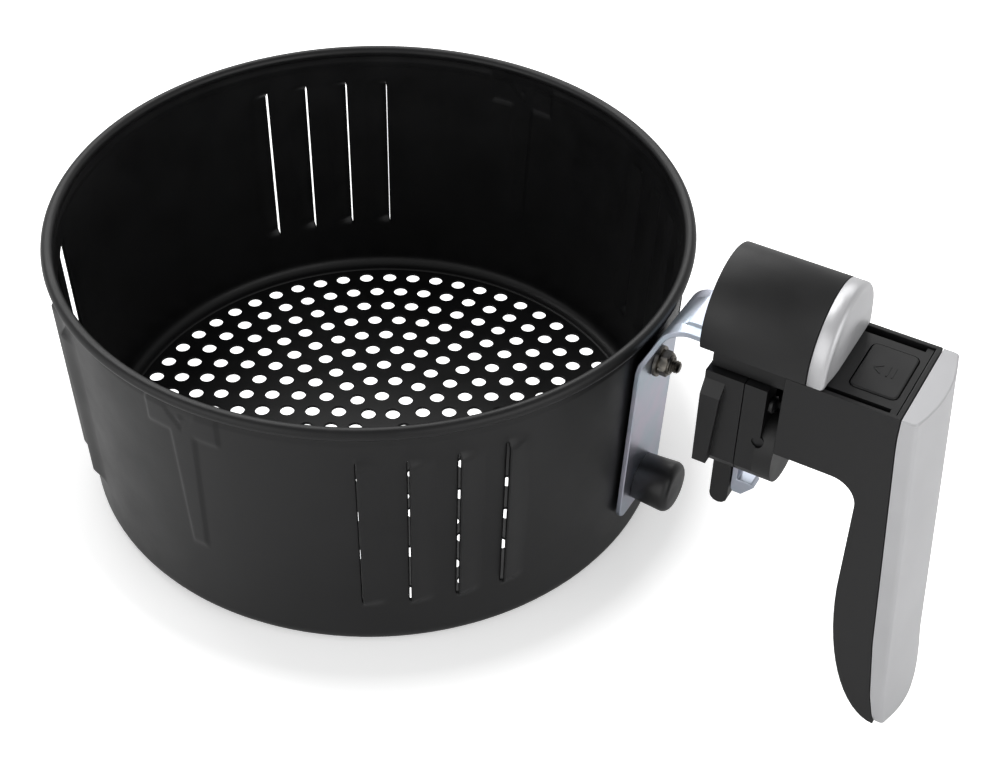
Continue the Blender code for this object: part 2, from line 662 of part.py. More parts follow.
def make_back_trim():
    """Silver shell over the back of the grip and the rear end of the arm."""
    bend = TRIM_FOOT[1] + TRIM_BEND
    heights = [BODY_TOP + (bend - BODY_TOP) * i / TRIM_ROWS for i in range(TRIM_ROWS + 1)]
    back = [(trim_ridge(z), z) for z in heights + [TRIM_FOOT[1] + TRIM_BEND / 2, TRIM_FOOT[1]]]
    parting = parting_line(GAP)
    foot = [(GRIP_REAR_BOTTOM + GAP, TRIM_FOOT[1])]
    outline = parting + foot + back[::-1]
    trim = slab("back_trim", [outline], -BODY_HALF, BODY_HALF, "XZ", SILVER_PLASTIC)
    bm = bmesh.new()
    bm.from_mesh(trim.data)
    for step in range(1, TRIM_STRIPS):
        bmesh.ops.bisect_plane(
            bm,
            geom=bm.verts[:] + bm.edges[:] + bm.faces[:],
            plane_co=(0, BODY_HALF * (2 * step / TRIM_STRIPS - 1) * MM, 0),
            plane_no=(0, 1, 0),
        )
    for vert in bm.verts:
        x, y, z = vert.co / MM
        if x > trim_ridge(z) - 0.05:
            vert.co.x += TRIM_CROWN * (1 - (y / BODY_HALF) ** 2) * MM
    bm.to_mesh(trim.data)
    bm.free()
    inner_half = BODY_HALF - TRIM_WALL
    top = BODY_TOP - TRIM_WALL
    bottom = TRIM_FOOT[1] + TRIM_WALL
    inner = [(trim_ridge(z) - TRIM_WALL, z) for z in (top, (top + bend) / 2, bend, bottom)]
    hollow = inner + [(ARM_REAR - CUT_PAST, bottom), (ARM_REAR - CUT_PAST, top)]
    boolean(trim, slab("trim_hollow", [hollow], -inner_half, inner_half, "XZ", None, CUTTERS))


def make_deck_plate():
    """Plate sunk between the arm's sides, with a slot along each side and the button's opening."""
    wide = POCKET_HALF - GAP
    rear = POCKET_REAR - GAP
    shoulder = POCKET_FRONT + GAP
    right = [(DECK_FRONT, -NECK_HALF), (shoulder, -NECK_HALF), (shoulder, -DECK_HALF)]
    right += [(SLOT_END, -DECK_HALF), (SLOT_END, -wide), (rear, -wide)]
    outline = right + [(x, -y) for x, y in right[::-1]]
    opening = rounded_box_outline(
        (BUTTON_FRONT - GAP, -BUTTON_HALF - GAP), (BUTTON_REAR + GAP, BUTTON_HALF + GAP), BUTTON_CORNER + GAP
    )
    holes = [arc((x, 0), NECK_SCREW_HEAD_RADIUS + HOLE_GAP, 0, 360, 16)[:-1] for _, x in NECK_SCREW_PLACES]
    slab("deck_plate", [outline, opening] + holes, DECK_LOW, DECK_TOP, "XY", BLACK_PLASTIC)


def make_neck_screws():
    """Screws that hold the strap down on the neck."""
    under_head = STRAP_TOP_FACE + GAP
    for name, x in NECK_SCREW_PLACES:
        profile = [
            (0, under_head + NECK_SCREW_HEAD_THICK),
            (NECK_SCREW_HEAD_RADIUS - NECK_SCREW_HEAD_EDGE, under_head + NECK_SCREW_HEAD_THICK),
            (NECK_SCREW_HEAD_RADIUS, under_head + NECK_SCREW_HEAD_THICK - NECK_SCREW_HEAD_EDGE),
            (NECK_SCREW_HEAD_RADIUS, under_head),
            (NECK_SCREW_RADIUS, under_head),
            (NECK_SCREW_RADIUS, STRAP_LOW_FACE - NECK_SCREW_DEPTH),
            (0, STRAP_LOW_FACE - NECK_SCREW_DEPTH),
        ]
        turned(name, profile, SCREW_STEEL, upright(x), 16)


def make_button():
    """Push button with the post that works the lever, and the coil spring round the post."""
    low = (BUTTON_FRONT, -BUTTON_HALF)
    high = (BUTTON_REAR, BUTTON_HALF)
    outline = rounded_box_outline(low, high, BUTTON_CORNER)
    button = slab("release_button", [outline], BUTTON_LOW, BUTTON_TOP, "XY", BLACK_PLASTIC)
    post = rod(
        "button_post",
        POST_RADIUS,
        LEVER_ARM_TOP + GAP,
        BUTTON_LOW + BUTTON_THICK / 2,
        upright(POST_X),
        None,
        CUTTERS,
        16,
    )
    boolean(button, post, "UNION")
    make_spring("button_spring", BUTTON_SPRING_RADIUS, SPRING_SHELF_TOP + GAP, BUTTON_LOW - GAP, POST_X)


def make_spring(name, radius, low, high, x):
    """Compression spring on a vertical axis, between two seats."""
    curve = bpy.data.curves.new(name, "CURVE")
    curve.dimensions = "3D"
    curve.bevel_depth = SPRING_WIRE / 2 * MM
    curve.bevel_resolution = 1
    curve.use_fill_caps = True
    curve.materials.append(ZINC)
    count = int(SPRING_TURNS * SPRING_POINTS)
    spline = curve.splines.new("POLY")
    spline.points.add(count)
    foot = low + SPRING_WIRE / 2
    rise = high - low - SPRING_WIRE
    for index, point in enumerate(spline.points):
        angle = 2 * math.pi * index / SPRING_POINTS
        place = (x + radius * math.cos(angle), radius * math.sin(angle), foot + rise * index / count)
        point.co = (*(MM * value for value in place), 1)
    PARTS.objects.link(bpy.data.objects.new(name, curve))


def guard_outline(inset, bottom, count=14):
    """D shape across the handle: straight sides with a half round over them."""
    radius = GUARD_RADIUS - inset
    return [(radius, bottom)] + arc((0, GUARD_AXIS_HEIGHT), radius, 0, 180, count) + [(-radius, bottom)]


def make_guard():
    """Sliding guard that covers the button: hood, silver end cap and the carriage in the slots."""
    outer = guard_outline(0, GUARD_BOTTOM)
    inner = guard_outline(GUARD_WALL, GUARD_BOTTOM)
    slab("guard_hood", [outer + inner[::-1]], GUARD_FRONT, GUARD_JOINT, "YZ", BLACK_PLASTIC)
    cap = slab("guard_cap", [outer], GUARD_JOINT + GAP, GUARD_REAR, "YZ", SILVER_PLASTIC)
    bm = bmesh.new()
    bm.from_mesh(cap.data)
    rear = [face for face in bm.faces if face.normal.x > 0.9]
    rear = bmesh.ops.dissolve_faces(bm, faces=rear)["region"]
    for inset, share in DOME_STEPS:
        bmesh.ops.inset_region(bm, faces=rear, thickness=inset * MM, use_even_offset=True)
        rim = {vert for face in rear for vert in face.verts}
        bmesh.ops.translate(bm, vec=(share * GUARD_DOME * MM, 0, 0), verts=list(rim))
    bmesh.ops.recalc_face_normals(bm, faces=bm.faces)
    bm.to_mesh(cap.data)
    bm.free()
    pocket = slab(
        "cap_pocket",
        [guard_outline(GUARD_WALL, GUARD_BOTTOM - CUT_PAST)],
        GUARD_JOINT - 1,
        CARRIAGE_REAR + GAP,
        "YZ",
        None,
        CUTTERS,
    )
    boolean(cap, pocket)
    outside = POCKET_HALF - GAP
    inside = outside - LEG_THICK
    hook = inside - LEG_HOOK
    plate_low = GUARD_BOTTOM + SLIDE_GAP
    right = [
        (inside, plate_low),
        (inside, DECK_LOW - GAP),
        (hook, DECK_LOW - GAP - LEG_HOOK_EDGE),
        (hook, DECK_LOW - GAP - LEG_HOOK_DROP),
        (inside, LEG_BOTTOM),
        (outside, LEG_BOTTOM),
        (outside, plate_low + CARRIAGE_PLATE),
    ]
    outline = right + [(-y, z) for y, z in right[::-1]]
    slab("guard_carriage", [outline], CARRIAGE_FRONT, CARRIAGE_REAR, "YZ", BLACK_PLASTIC)


def housing_outline(half):
    """Front view of the latch housing: flat top and sides, and a round underside."""
    reach = math.degrees(math.acos(half / HOUSING_ROUND_RADIUS))
    centre = (0, HOUSING_ROUND_HEIGHT)
    under = arc(centre, HOUSING_ROUND_RADIUS, -180 + reach, -reach, 8)
    return [(half, HOUSING_TOP), (-half, HOUSING_TOP)] + under


def make_latch_housing():
    """Two halves of the latch block, with a guide rib on each side and the lever's slot between."""
    front = slab(
        "latch_housing_front",
        [housing_outline(HOUSING_HALF)],
        HOUSING_FRONT,
        HOUSING_SPLIT - GAP / 2,
        "YZ",
        BLACK_PLASTIC,
    )
    for side, name in ((-1, "rib_right"), (1, "rib_left")):
        root = HOUSING_HALF - RIB_ROOT
        tip = HOUSING_HALF + RIB_OUT
        face = [(root, RIB_BOTTOM), (tip, RIB_BOTTOM), (tip, RIB_TOP), (root, RIB_TOP + 2 * RIB_OUT)]
        shape = [(side * y, z) for y, z in face]
        low = HOUSING_FRONT
        rib = slab(name, [shape], low, low + RIB_LENGTH, "YZ", None, CUTTERS)
        for vert in rib.data.vertices:
            if vert.co.x > (low + RIB_LENGTH / 2) * MM:
                vert.co.x -= RIB_TAPER * MM * (RIB_TOP - vert.co.z / MM) / (RIB_TOP - RIB_BOTTOM)
        boolean(front, rib, "UNION")
    slot_low = HOUSING_ROUND_HEIGHT - HOUSING_ROUND_RADIUS - CUT_PAST
    cut_box(
        front,
        "front_slot",
        (HOUSING_FRONT + HOUSING_FRONT_WALL, -SLOT_HALF, slot_low),
        (HOUSING_SPLIT + 1, SLOT_HALF, HOUSING_TOP - HOUSING_ROOF),
    )
    rear = slab(
        "latch_housing_rear",
        [housing_outline(HOUSING_HALF)],
        HOUSING_SPLIT + GAP / 2,
        HOUSING_REAR,
        "YZ",
        BLACK_PLASTIC,
    )
    drum = rod(
        "housing_drum",
        HOUSING_ROUND_RADIUS,
        HOUSING_REAR - 1,
        DRUM_REAR,
        along_x(0, HOUSING_ROUND_HEIGHT),
        None,
        CUTTERS,
        32,
    )
    boolean(rear, drum, "UNION")
    cut_box(
        rear,
        "rear_slot",
        (HOUSING_SPLIT - 1, -SLOT_HALF, slot_low),
        (DRUM_REAR - HOUSING_FRONT_WALL, SLOT_HALF, HOUSING_TOP + CUT_PAST),
    )
    cut_box(
        rear,
        "rear_window",
        (HOUSING_REAR - 1, -SLOT_HALF, PIVOT_HEIGHT),
        (DRUM_REAR + 1, SLOT_HALF, HOUSING_TOP + CUT_PAST),
    )
    past = HOUSING_HALF + CUT_PAST
    cut_rod(rear, "pin_hole", PIVOT_RADIUS + HOLE_GAP, -past, past, along_y(PIVOT_X, PIVOT_HEIGHT), 16)
    start = HOUSING_REAR + GAP - HOUSING_SCREW_LENGTH
    head_top = HOUSING_REAR + GAP + HOUSING_SCREW_HEAD_THICK
    for side, name in ((-1, "housing_screw_right"), (1, "housing_screw_left")):
        frame = along_x(side * HOUSING_SCREW_OFFSET, HOUSING_SCREW_HEIGHT)
        hole = HOUSING_SCREW_RADIUS + HOLE_GAP
        for half in (front, rear):
            cut_rod(half, f"{name}_{half.name}", hole, start - GAP, HOUSING_REAR + CUT_PAST, frame, 12)
        profile = [
            (0, head_top),
            (HOUSING_SCREW_HEAD - HOUSING_SCREW_HEAD_EDGE, head_top),
            (HOUSING_SCREW_HEAD, head_top - HOUSING_SCREW_HEAD_EDGE),
            (HOUSING_SCREW_HEAD, HOUSING_REAR + GAP),
            (HOUSING_SCREW_RADIUS, HOUSING_REAR + GAP),
            (HOUSING_SCREW_RADIUS, start),
            (0, start),
        ]
        turned(name, profile, SCREW_STEEL, frame, 14)


def make_lever():
    """Lever between button and catch, on its pin, with the steel catch riveted to it."""
    half_width = TONGUE_WIDTH / 2
    tip_centre = (TONGUE_FRONT + half_width, TONGUE_BOTTOM + half_width)
    outline = arc(tip_centre, half_width, 180, 360, 6) + list(LEVER_BACK)
    outline += arc((PIVOT_X, PIVOT_HEIGHT), PIVOT_BOSS, -70, 30, 4) + list(LEVER_ELBOW_LOW)
    outline += [(LEVER_ARM_END, LEVER_ARM_LOW), (LEVER_ARM_END, LEVER_ARM_TOP)]
    outline += list(LEVER_ELBOW_TOP) + list(LEVER_FACE)
    lever = slab("release_lever", [outline], -LEVER_HALF, LEVER_HALF, "XZ", BLACK_PLASTIC)
    pivot = along_y(PIVOT_X, PIVOT_HEIGHT)
    past = LEVER_HALF + CUT_PAST
    cut_rod(lever, "lever_bore", PIVOT_RADIUS + HOLE_GAP, -past, past, pivot, 16)
    pin_half = HOUSING_HALF - PIN_SHORT
    rod("lever_pin", PIVOT_RADIUS, -pin_half, pin_half, pivot, SCREW_STEEL, PARTS, 16)
    rivet = along_x(0, RIVET_HEIGHT)
    rivet_end = TONGUE_REAR + GAP + CATCH_SHANK + GAP
    rivet_hole = RIVET_RADIUS + HOLE_GAP
    cut_rod(lever, "rivet_bore", rivet_hole, TONGUE_REAR - RIVET_DEPTH, TONGUE_REAR + CUT_PAST, rivet, 12)
    shank = TONGUE_REAR + GAP
    nose = shank + CATCH_NOSE_REACH
    hook = [
        (shank, CATCH_TOP),
        (shank, CATCH_NOSE_BOTTOM + CATCH_EDGE),
        (shank + CATCH_EDGE, CATCH_NOSE_BOTTOM),
        (shank + 2 * CATCH_SHANK, CATCH_NOSE_BOTTOM),
        (nose, CATCH_NOSE_TOP - CATCH_EDGE),
        (nose - CATCH_EDGE, CATCH_NOSE_TOP),
        (shank + CATCH_SHANK, CATCH_NOSE_TOP),
        (shank + CATCH_SHANK, CATCH_TOP),
    ]
    catch = slab("catch_hook", [hook], -CATCH_HALF, CATCH_HALF, "XZ", ZINC)
    cut_rod(catch, "catch_bore", rivet_hole, shank - 1, shank + CATCH_SHANK + 1, rivet, 12)
    profile = [
        (0, rivet_end + RIVET_HEAD_THICK),
        (RIVET_RADIUS + RIVET_HEAD / 2, rivet_end + RIVET_HEAD_THICK),
        (RIVET_RADIUS + RIVET_HEAD, rivet_end),
        (RIVET_RADIUS, rivet_end),
        (RIVET_RADIUS, TONGUE_REAR - RIVET_DEPTH + GAP),
        (0, TONGUE_REAR - RIVET_DEPTH + GAP),
    ]
    turned("hook_rivet", profile, SCREW_STEEL, rivet, 12)
    spring_low = ARM_BOTTOM + ARM_FLOOR + GAP
    make_spring("lever_spring", LEVER_SPRING_RADIUS, spring_low, LEVER_ARM_LOW - GAP, LEVER_SPRING_X)


def hang_on_axis(name, place, pieces):
    """An empty on a joint's axis, with the pieces that move on that joint parented to it."""
    axis = bpy.data.objects.new(name, None)
    PARTS.objects.link(axis)
    axis.location = [MM * value for value in place]
    bpy.context.view_layer.update()
    for piece in pieces:
        bpy.data.objects[piece].parent = axis
        bpy.data.objects[piece].matrix_parent_inverse = axis.matrix_world.inverted()


make_basket_wall()
make_perforated_floor()
make_handle_bracket()
make_bracket_fasteners()
make_bumper()
make_handle_body()
make_back_trim()
make_deck_plate()
make_neck_screws()
make_button()
make_guard()
make_latch_housing()
make_lever()

hang_on_axis("guard_slide_axis", (GUARD_FRONT, 0, DECK_TOP), ("guard_hood", "guard_cap", "guard_carriage"))
hang_on_axis("button_press_axis", (POST_X, 0, DECK_TOP), ("release_button",))
hang_on_axis("lever_turn_axis", (PIVOT_X, 0, PIVOT_HEIGHT), ("release_lever", "catch_hook", "hook_rivet"))

for part in PARTS.objects:
    if part.type == "MESH":
        part.data.shade_smooth()
        part.data.set_sharp_from_angle(angle=math.radians(35))
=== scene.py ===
"""Looks of a small air fryer's frying basket and its release handle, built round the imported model."""

import math

import bmesh
import bpy
from mathutils import Matrix, Vector


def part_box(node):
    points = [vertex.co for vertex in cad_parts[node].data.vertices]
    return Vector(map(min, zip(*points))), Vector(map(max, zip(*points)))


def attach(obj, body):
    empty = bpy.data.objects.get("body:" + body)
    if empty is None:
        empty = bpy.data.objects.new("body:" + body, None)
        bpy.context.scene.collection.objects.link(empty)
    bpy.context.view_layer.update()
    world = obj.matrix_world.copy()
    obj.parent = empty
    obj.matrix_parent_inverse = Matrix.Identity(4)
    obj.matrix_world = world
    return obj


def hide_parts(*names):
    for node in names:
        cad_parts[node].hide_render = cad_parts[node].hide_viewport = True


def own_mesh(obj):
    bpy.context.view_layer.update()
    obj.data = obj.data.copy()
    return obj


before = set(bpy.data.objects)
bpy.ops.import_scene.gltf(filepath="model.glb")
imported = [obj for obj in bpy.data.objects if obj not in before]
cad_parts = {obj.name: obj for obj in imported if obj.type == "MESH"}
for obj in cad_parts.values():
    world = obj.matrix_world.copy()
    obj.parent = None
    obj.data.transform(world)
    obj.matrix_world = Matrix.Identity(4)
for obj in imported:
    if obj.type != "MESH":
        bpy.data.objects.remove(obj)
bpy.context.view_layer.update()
MM = 0.001


# Camera. It stands above and in front of the basket, on the handle's right-hand side, and looks
# down into it with a long lens.
CAMERA_PLACE = (0.2444, -0.3614, 0.4071)
CAMERA_RIGHT = Vector((0.8771, 0.4802, 0.0))
CAMERA_PITCH = 0.726
CAMERA_ROLL = 0.0243
LENS = 62.51
SENSOR_WIDTH = 36.0
NEAR_CLIP = 0.01

lens_data = bpy.data.cameras.new("camera")
lens_data.lens = LENS
lens_data.sensor_width = SENSOR_WIDTH
lens_data.clip_start = NEAR_CLIP
camera = bpy.data.objects.new("camera", lens_data)
bpy.context.scene.collection.objects.link(camera)
bpy.context.scene.camera = camera
level = Vector((-CAMERA_RIGHT.y, CAMERA_RIGHT.x, 0.0))
ahead = level * math.cos(CAMERA_PITCH) - Vector((0, 0, math.sin(CAMERA_PITCH)))
above = CAMERA_RIGHT.cross(ahead)
right = CAMERA_RIGHT * math.cos(CAMERA_ROLL) + above * math.sin(CAMERA_ROLL)
up = above * math.cos(CAMERA_ROLL) - CAMERA_RIGHT * math.sin(CAMERA_ROLL)
turn = Matrix((right, up, -ahead)).transposed().to_4x4()
camera.matrix_world = Matrix.Translation(CAMERA_PLACE) @ turn


# Pale floor. The basket stands on it, and past the basket it sinks in a smooth slope, because the
# grip reaches lower than the basket's floor. Below the punched floor a painted glow, seen by the
# camera alone, lights it like a light table, so the holes show white.
SLOPE_START = 118.0
SLOPE_LENGTH = 60.0
SLOPE_DROP = 26.0
FLOOR_REACH = 1600.0
FLOOR_STRIPS = 1280
# Painted light, seen by camera rays alone: a glow under the punched floor, and a lift towards white that
# paints out shadow.
GLOW_RADIUS = 90.0
GLOW_FADE = 4.0
GLOW_STRENGTH = 1.15
SHADOW_RADIUS = 106.0
SHADOW_FADE = 26.0
PAINTED_FLOOR_LIFT = 0.38


def linear(code):
    """Linear colour and alpha of an sRGB hex value."""
    parts = [int(code[i : i + 2], 16) / 255 for i in (0, 2, 4)]
    return (*[c / 12.92 if c <= 0.04045 else ((c + 0.055) / 1.055) ** 2.4 for c in parts], 1.0)


def add_node(material, kind, settings, inputs):
    """A node with its settings. An input takes a value, or the socket that feeds it."""
    tree = material.node_tree
    node = tree.nodes.new(kind)
    for name, value in settings.items():
        setattr(node, name, value)
    for name, value in inputs.items():
        if isinstance(value, bpy.types.NodeSocket):
            tree.links.new(value, node.inputs[name])
        else:
            node.inputs[name].default_value = value
    return node


def new_material(name, colour, roughness, metallic=0.0, ior=1.5):
    """A material and its Principled shader."""
    material = bpy.data.materials.new(name)
    material.use_nodes = True
    shader = material.node_tree.nodes["Principled BSDF"]
    shader.inputs["Base Color"].default_value = linear(colour)
    shader.inputs["Roughness"].default_value = roughness
    shader.inputs["Metallic"].default_value = metallic
    shader.inputs["IOR"].default_value = ior
    return material, shader


def smooth(share):
    """0 to 1 with flat ends."""
    share = min(max(share, 0.0), 1.0)
    return share * share * (3 - 2 * share)


# Matt white card scatters all light evenly, so the floor shows soft shadows and no gloss. Camera rays
# alone also see painted light on it: the glow under the basket, and a painted white lift that only
# lightens the shadow near the basket and paints shadow out fully past it, the handle's shadow too.
paper, paper_shader = new_material("matt_white_paper", "F4F4F4", 0.9)
coords = add_node(paper, "ShaderNodeTexCoord", {}, {})
radial = add_node(paper, "ShaderNodeVectorMath", {"operation": "LENGTH"}, {0: coords.outputs["Object"]})
# Painted glow where the punched floor lies above, so the holes show white.
glow = add_node(
    paper,
    "ShaderNodeMapRange",
    {},
    {
        "Value": radial.outputs["Value"],
        "From Min": GLOW_RADIUS * MM,
        "From Max": (GLOW_RADIUS - GLOW_FADE) * MM,
        "To Min": 0.0,
        "To Max": GLOW_STRENGTH,
    },
)
rays = add_node(paper, "ShaderNodeLightPath", {}, {}).outputs["Is Camera Ray"]
# Painted lift towards white: weak within SHADOW_RADIUS, full past it, where it paints out the handle's
# shadow.
lift = add_node(
    paper,
    "ShaderNodeMapRange",
    {},
    {
        "Value": radial.outputs["Value"],
        "From Min": SHADOW_RADIUS * MM,
        "From Max": (SHADOW_RADIUS + SHADOW_FADE) * MM,
        "To Min": PAINTED_FLOOR_LIFT,
        "To Max": 1.0,
    },
)
lifted = add_node(
    paper,
    "ShaderNodeMath",
    {"operation": "ADD"},
    {0: glow.outputs["Result"], 1: lift.outputs["Result"]},
)
seen = add_node(paper, "ShaderNodeMath", {"operation": "MULTIPLY"}, {0: lifted.outputs["Value"], 1: rays})
paper_shader.inputs["Emission Color"].default_value = linear("FFFFFF")
paper.node_tree.links.new(seen.outputs["Value"], paper_shader.inputs["Emission Strength"])

bm = bmesh.new()
bmesh.ops.create_grid(bm, x_segments=FLOOR_STRIPS, y_segments=1, size=FLOOR_REACH * MM)
for vert in bm.verts:
    share = smooth((vert.co.x / MM - SLOPE_START) / SLOPE_LENGTH)
    vert.co.z = -SLOPE_DROP * MM * share
floor_mesh = bpy.data.meshes.new("floor")
bm.to_mesh(floor_mesh)
bm.free()
floor_mesh.materials.append(paper)
floor_mesh.shade_smooth()
floor = bpy.data.objects.new("floor", floor_mesh)
bpy.context.scene.collection.objects.link(floor)

# Studio light. A white room that is darker overhead, a soft box high on the left, a low one in
# front, and one on the right and one behind that draw the handle's highlights.
ROOM_RISE = (0.1, 0.9)  # heights of the view, 0 level and 1 overhead, between which it darkens
ROOM_SIDES = 0.72
ROOM_OVERHEAD = 0.38
world = bpy.data.worlds.new("white_room")
world.use_nodes = True
direction = add_node(world, "ShaderNodeTexCoord", {}, {}).outputs["Generated"]
rise = add_node(world, "ShaderNodeSeparateXYZ", {}, {"Vector": direction}).outputs["Z"]
room = add_node(
    world,
    "ShaderNodeMapRange",
    {},
    {
        "Value": rise,
        "From Min": ROOM_RISE[0],
        "From Max": ROOM_RISE[1],
        "To Min": ROOM_SIDES,
        "To Max": ROOM_OVERHEAD,
    },
)
rays = add_node(world, "ShaderNodeLightPath", {}, {}).outputs["Is Camera Ray"]
white = add_node(world, "ShaderNodeMath", {"operation": "MAXIMUM"}, {0: room.outputs["Result"], 1: rays})
background = world.node_tree.nodes["Background"]
background.inputs["Color"].default_value = linear("FFFFFF")
world.node_tree.links.new(white.outputs["Value"], background.inputs["Strength"])
bpy.context.scene.world = world
bpy.context.scene.view_settings.view_transform = "Standard"
SOFT_BOXES = (
    ("high_left_box", (-0.7, 0.3, 1.0), 0.7, 5.0),
    ("low_front_box", (-0.5, -1.2, 0.35), 1.4, 6.0),
    ("right_box", (1.2, -0.3, 0.7), 1.1, 4.5),
    ("far_box", (-0.5, 1.1, 0.95), 0.8, 4.0),
)
for name, place, size, power in SOFT_BOXES:
    lamp = bpy.data.lights.new(name, "AREA")
    lamp.shape = "SQUARE"
    lamp.size = size
    lamp.energy = power
    box = bpy.data.objects.new(name, lamp)
    facing = Vector(place).to_track_quat("Z", "Y").to_matrix().to_4x4()
    box.matrix_world = Matrix.Translation(place) @ facing
    bpy.context.scene.collection.objects.link(box)


# Basket wall. It is drawn from one sheet of steel about 1 mm thick, with a rolled rim and a rounded
# foot, and coated inside and out. Sixteen louvres and two fill marks are pressed outward.
SHEET = 1.0
BEAD_RADIUS = 1.9
WALL_TAPER = 3.0
FOOT_FILLET = 5.0
FLOOR_FLANGE = 1.3
FILLET_STEPS = 8
rim_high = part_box("basket_wall")[1] / MM
RIM_RADIUS = rim_high.x
RIM_HEIGHT = rim_high.z
TOP_RADIUS = RIM_RADIUS - BEAD_RADIUS - SHEET / 2
WALL_TOP = RIM_HEIGHT - 2 * BEAD_RADIUS - SHEET
FOOT_RADIUS = TOP_RADIUS - WALL_TAPER
FLOOR_RADIUS = FOOT_RADIUS - FOOT_FILLET - FLOOR_FLANGE
ROW_STEP = 1.0
COLUMN_STEP = 2.6  # degrees, on plain wall
LOUVRE_GROUPS = (45.0, 135.0, 225.0, 315.0)
LOUVRE_STEP = 8.4  # degrees
LOUVRE_CENTRES = [group + (i - 1.5) * LOUVRE_STEP for group in LOUVRE_GROUPS for i in range(4)]
LOUVRE_WIDTH = 8.6
LOUVRE_LOW = 18.0
LOUVRE_HIGH = 80.0
LOUVRE_DEPTH = 2.1
LOUVRE_GAP = 0.5
LOUVRE_END = 3.2
LOUVRE_CURVE = 0.85  # share of a smooth step that its section follows
LOUVRE_COLUMNS = (-1.2, -0.4, 0.0, 0.5, 1.2, 2.2, 3.4, 4.6, 5.8, 7.0, 8.0, LOUVRE_WIDTH, 9.6)
SLIT_MARGIN = 1.0
ANGLE_SLACK = 0.02  # degrees
MARK_CENTRES = (90.0, -90.0)
MARK_DEPTH = 0.5
MARK_EDGE = 1.1
MARK_BAR = (12.6, 76.3, 87.6)  # half width, lower edge, upper edge
MARK_STEM = (4.6, 3.0, 30.0)  # half width at its top and its foot, and the height of its foot
MARK_FOOT_FADE = 3.0
MARK_MARGIN = 2.0
MARK_COLUMNS = 22  # on each side of its middle
MARK_COLUMN_STEP = 0.65
SIGN_POINT = 78.2
SIGN_TOP = 85.4
SIGN_FLARE = 0.75  # half width gained per mm of height
SIGN_LINE = 2.2
SIGN_INNER_TOP = 83.9
SIGN_EDGE = 0.5
SIGN_SHARE = 0.6  # of the mark's own rise
GROOVE_HEIGHT = 86.4
GROOVE_DEPTH = 0.45
GROOVE_HALF = 1.2
BEAD_SIDES = 16
BEAD_STEPS = 240


def finish_piece(bm, name, material, body, replaced=(), sharp=None):
    """An object at the origin for a mesh that is in place, riding on its body. Sharp is in degrees."""
    mesh = bpy.data.meshes.new(name)
    bm.to_mesh(mesh)
    bm.free()
    mesh.materials.append(material)
    mesh.shade_smooth()
    if sharp:
        mesh.set_sharp_from_angle(angle=math.radians(sharp))
    piece = bpy.data.objects.new(name, mesh)
    bpy.context.scene.collection.objects.link(piece)
    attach(piece, body)
    if replaced:
        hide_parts(*replaced)
    return piece


def mottle(material, shader, colours, roughness, spot, bump, grain):
    """Uneven colour and sheen over patches of one size, and a fine grain of another, in mm."""
    coords = add_node(material, "ShaderNodeTexCoord", {}, {}).outputs["Object"]
    patches = add_node(
        material,
        "ShaderNodeTexNoise",
        {},
        {"Vector": coords, "Scale": 1 / (spot * MM), "Detail": 3.0},
    )
    ramp = add_node(material, "ShaderNodeValToRGB", {}, {"Fac": patches.outputs["Fac"]})
    for stop, place, colour in zip(ramp.color_ramp.elements, (0.35, 0.65), colours):
        stop.position = place
        stop.color = linear(colour)
    sheen = add_node(
        material,
        "ShaderNodeMapRange",
        {},
        {
            "Value": patches.outputs["Fac"],
            "From Min": 0.3,
            "From Max": 0.7,
            "To Min": roughness[0],
            "To Max": roughness[1],
        },
    )
    grains = add_node(
        material,
        "ShaderNodeTexNoise",
        {},
        {"Vector": coords, "Scale": 1 / (grain * MM), "Detail": 2.0},
    )
    dents = add_node(
        material,
        "ShaderNodeBump",
        {},
        {"Height": grains.outputs["Fac"], "Strength": 1.0, "Distance": bump * MM},
    )
    links = material.node_tree.links
    links.new(ramp.outputs["Color"], shader.inputs["Base Color"])
    links.new(sheen.outputs["Result"], shader.inputs["Roughness"])
    links.new(dents.outputs["Normal"], shader.inputs["Normal"])
    return coords, dents


# Non-stick coating, sprayed and baked: PTFE bends light little, so it is dark and satin, with a
# faint orange peel about 1.5 mm across.
coating, coating_shader = new_material("ptfe_coated_steel", "101011", 0.4, 0.0, 1.42)
mottle(coating, coating_shader, ("0E0E0F", "131314"), (0.36, 0.44), 14.0, 0.012, 1.5)


def wall_radius(height):
    """Outer radius of the plain wall, with the shallow roll groove below the rim."""
    straight = FOOT_RADIUS + (height - FOOT_FILLET) * WALL_TAPER / (WALL_TOP - FOOT_FILLET)
    return straight - GROOVE_DEPTH * max(0.0, 1 - abs(height - GROOVE_HEIGHT) / GROOVE_HALF)


def mark_press(across, height):
    """How far a fill mark, a T, is pressed out, 0 to 1, at a place across it and a height."""
    half, low, high = MARK_BAR
    bar = min(half - abs(across), height - low, high - height)
    top_half, foot_half, foot = MARK_STEM
    wide = foot_half + (top_half - foot_half) * (height - foot) / (low - foot)
    stem = min(wide - abs(across), (height - foot) / MARK_FOOT_FADE, high - height)
    return smooth(max(bar, stem) / MARK_EDGE)


def level_sign(across, height):
    """Outline of a triangle that points down at the fill level, set back in the mark's bar, 0 to 1."""
    half = (height - SIGN_POINT) * SIGN_FLARE
    outside = min(half - abs(across), SIGN_TOP - height)
    inside = min(half - SIGN_LINE - abs(across), SIGN_INNER_TOP - height)
    return smooth(outside / SIGN_EDGE) - smooth(inside / SIGN_EDGE)


def arc_degrees(length):
    """Angle, in degrees, that a length takes up round the wall."""
    return math.degrees(length / TOP_RADIUS)


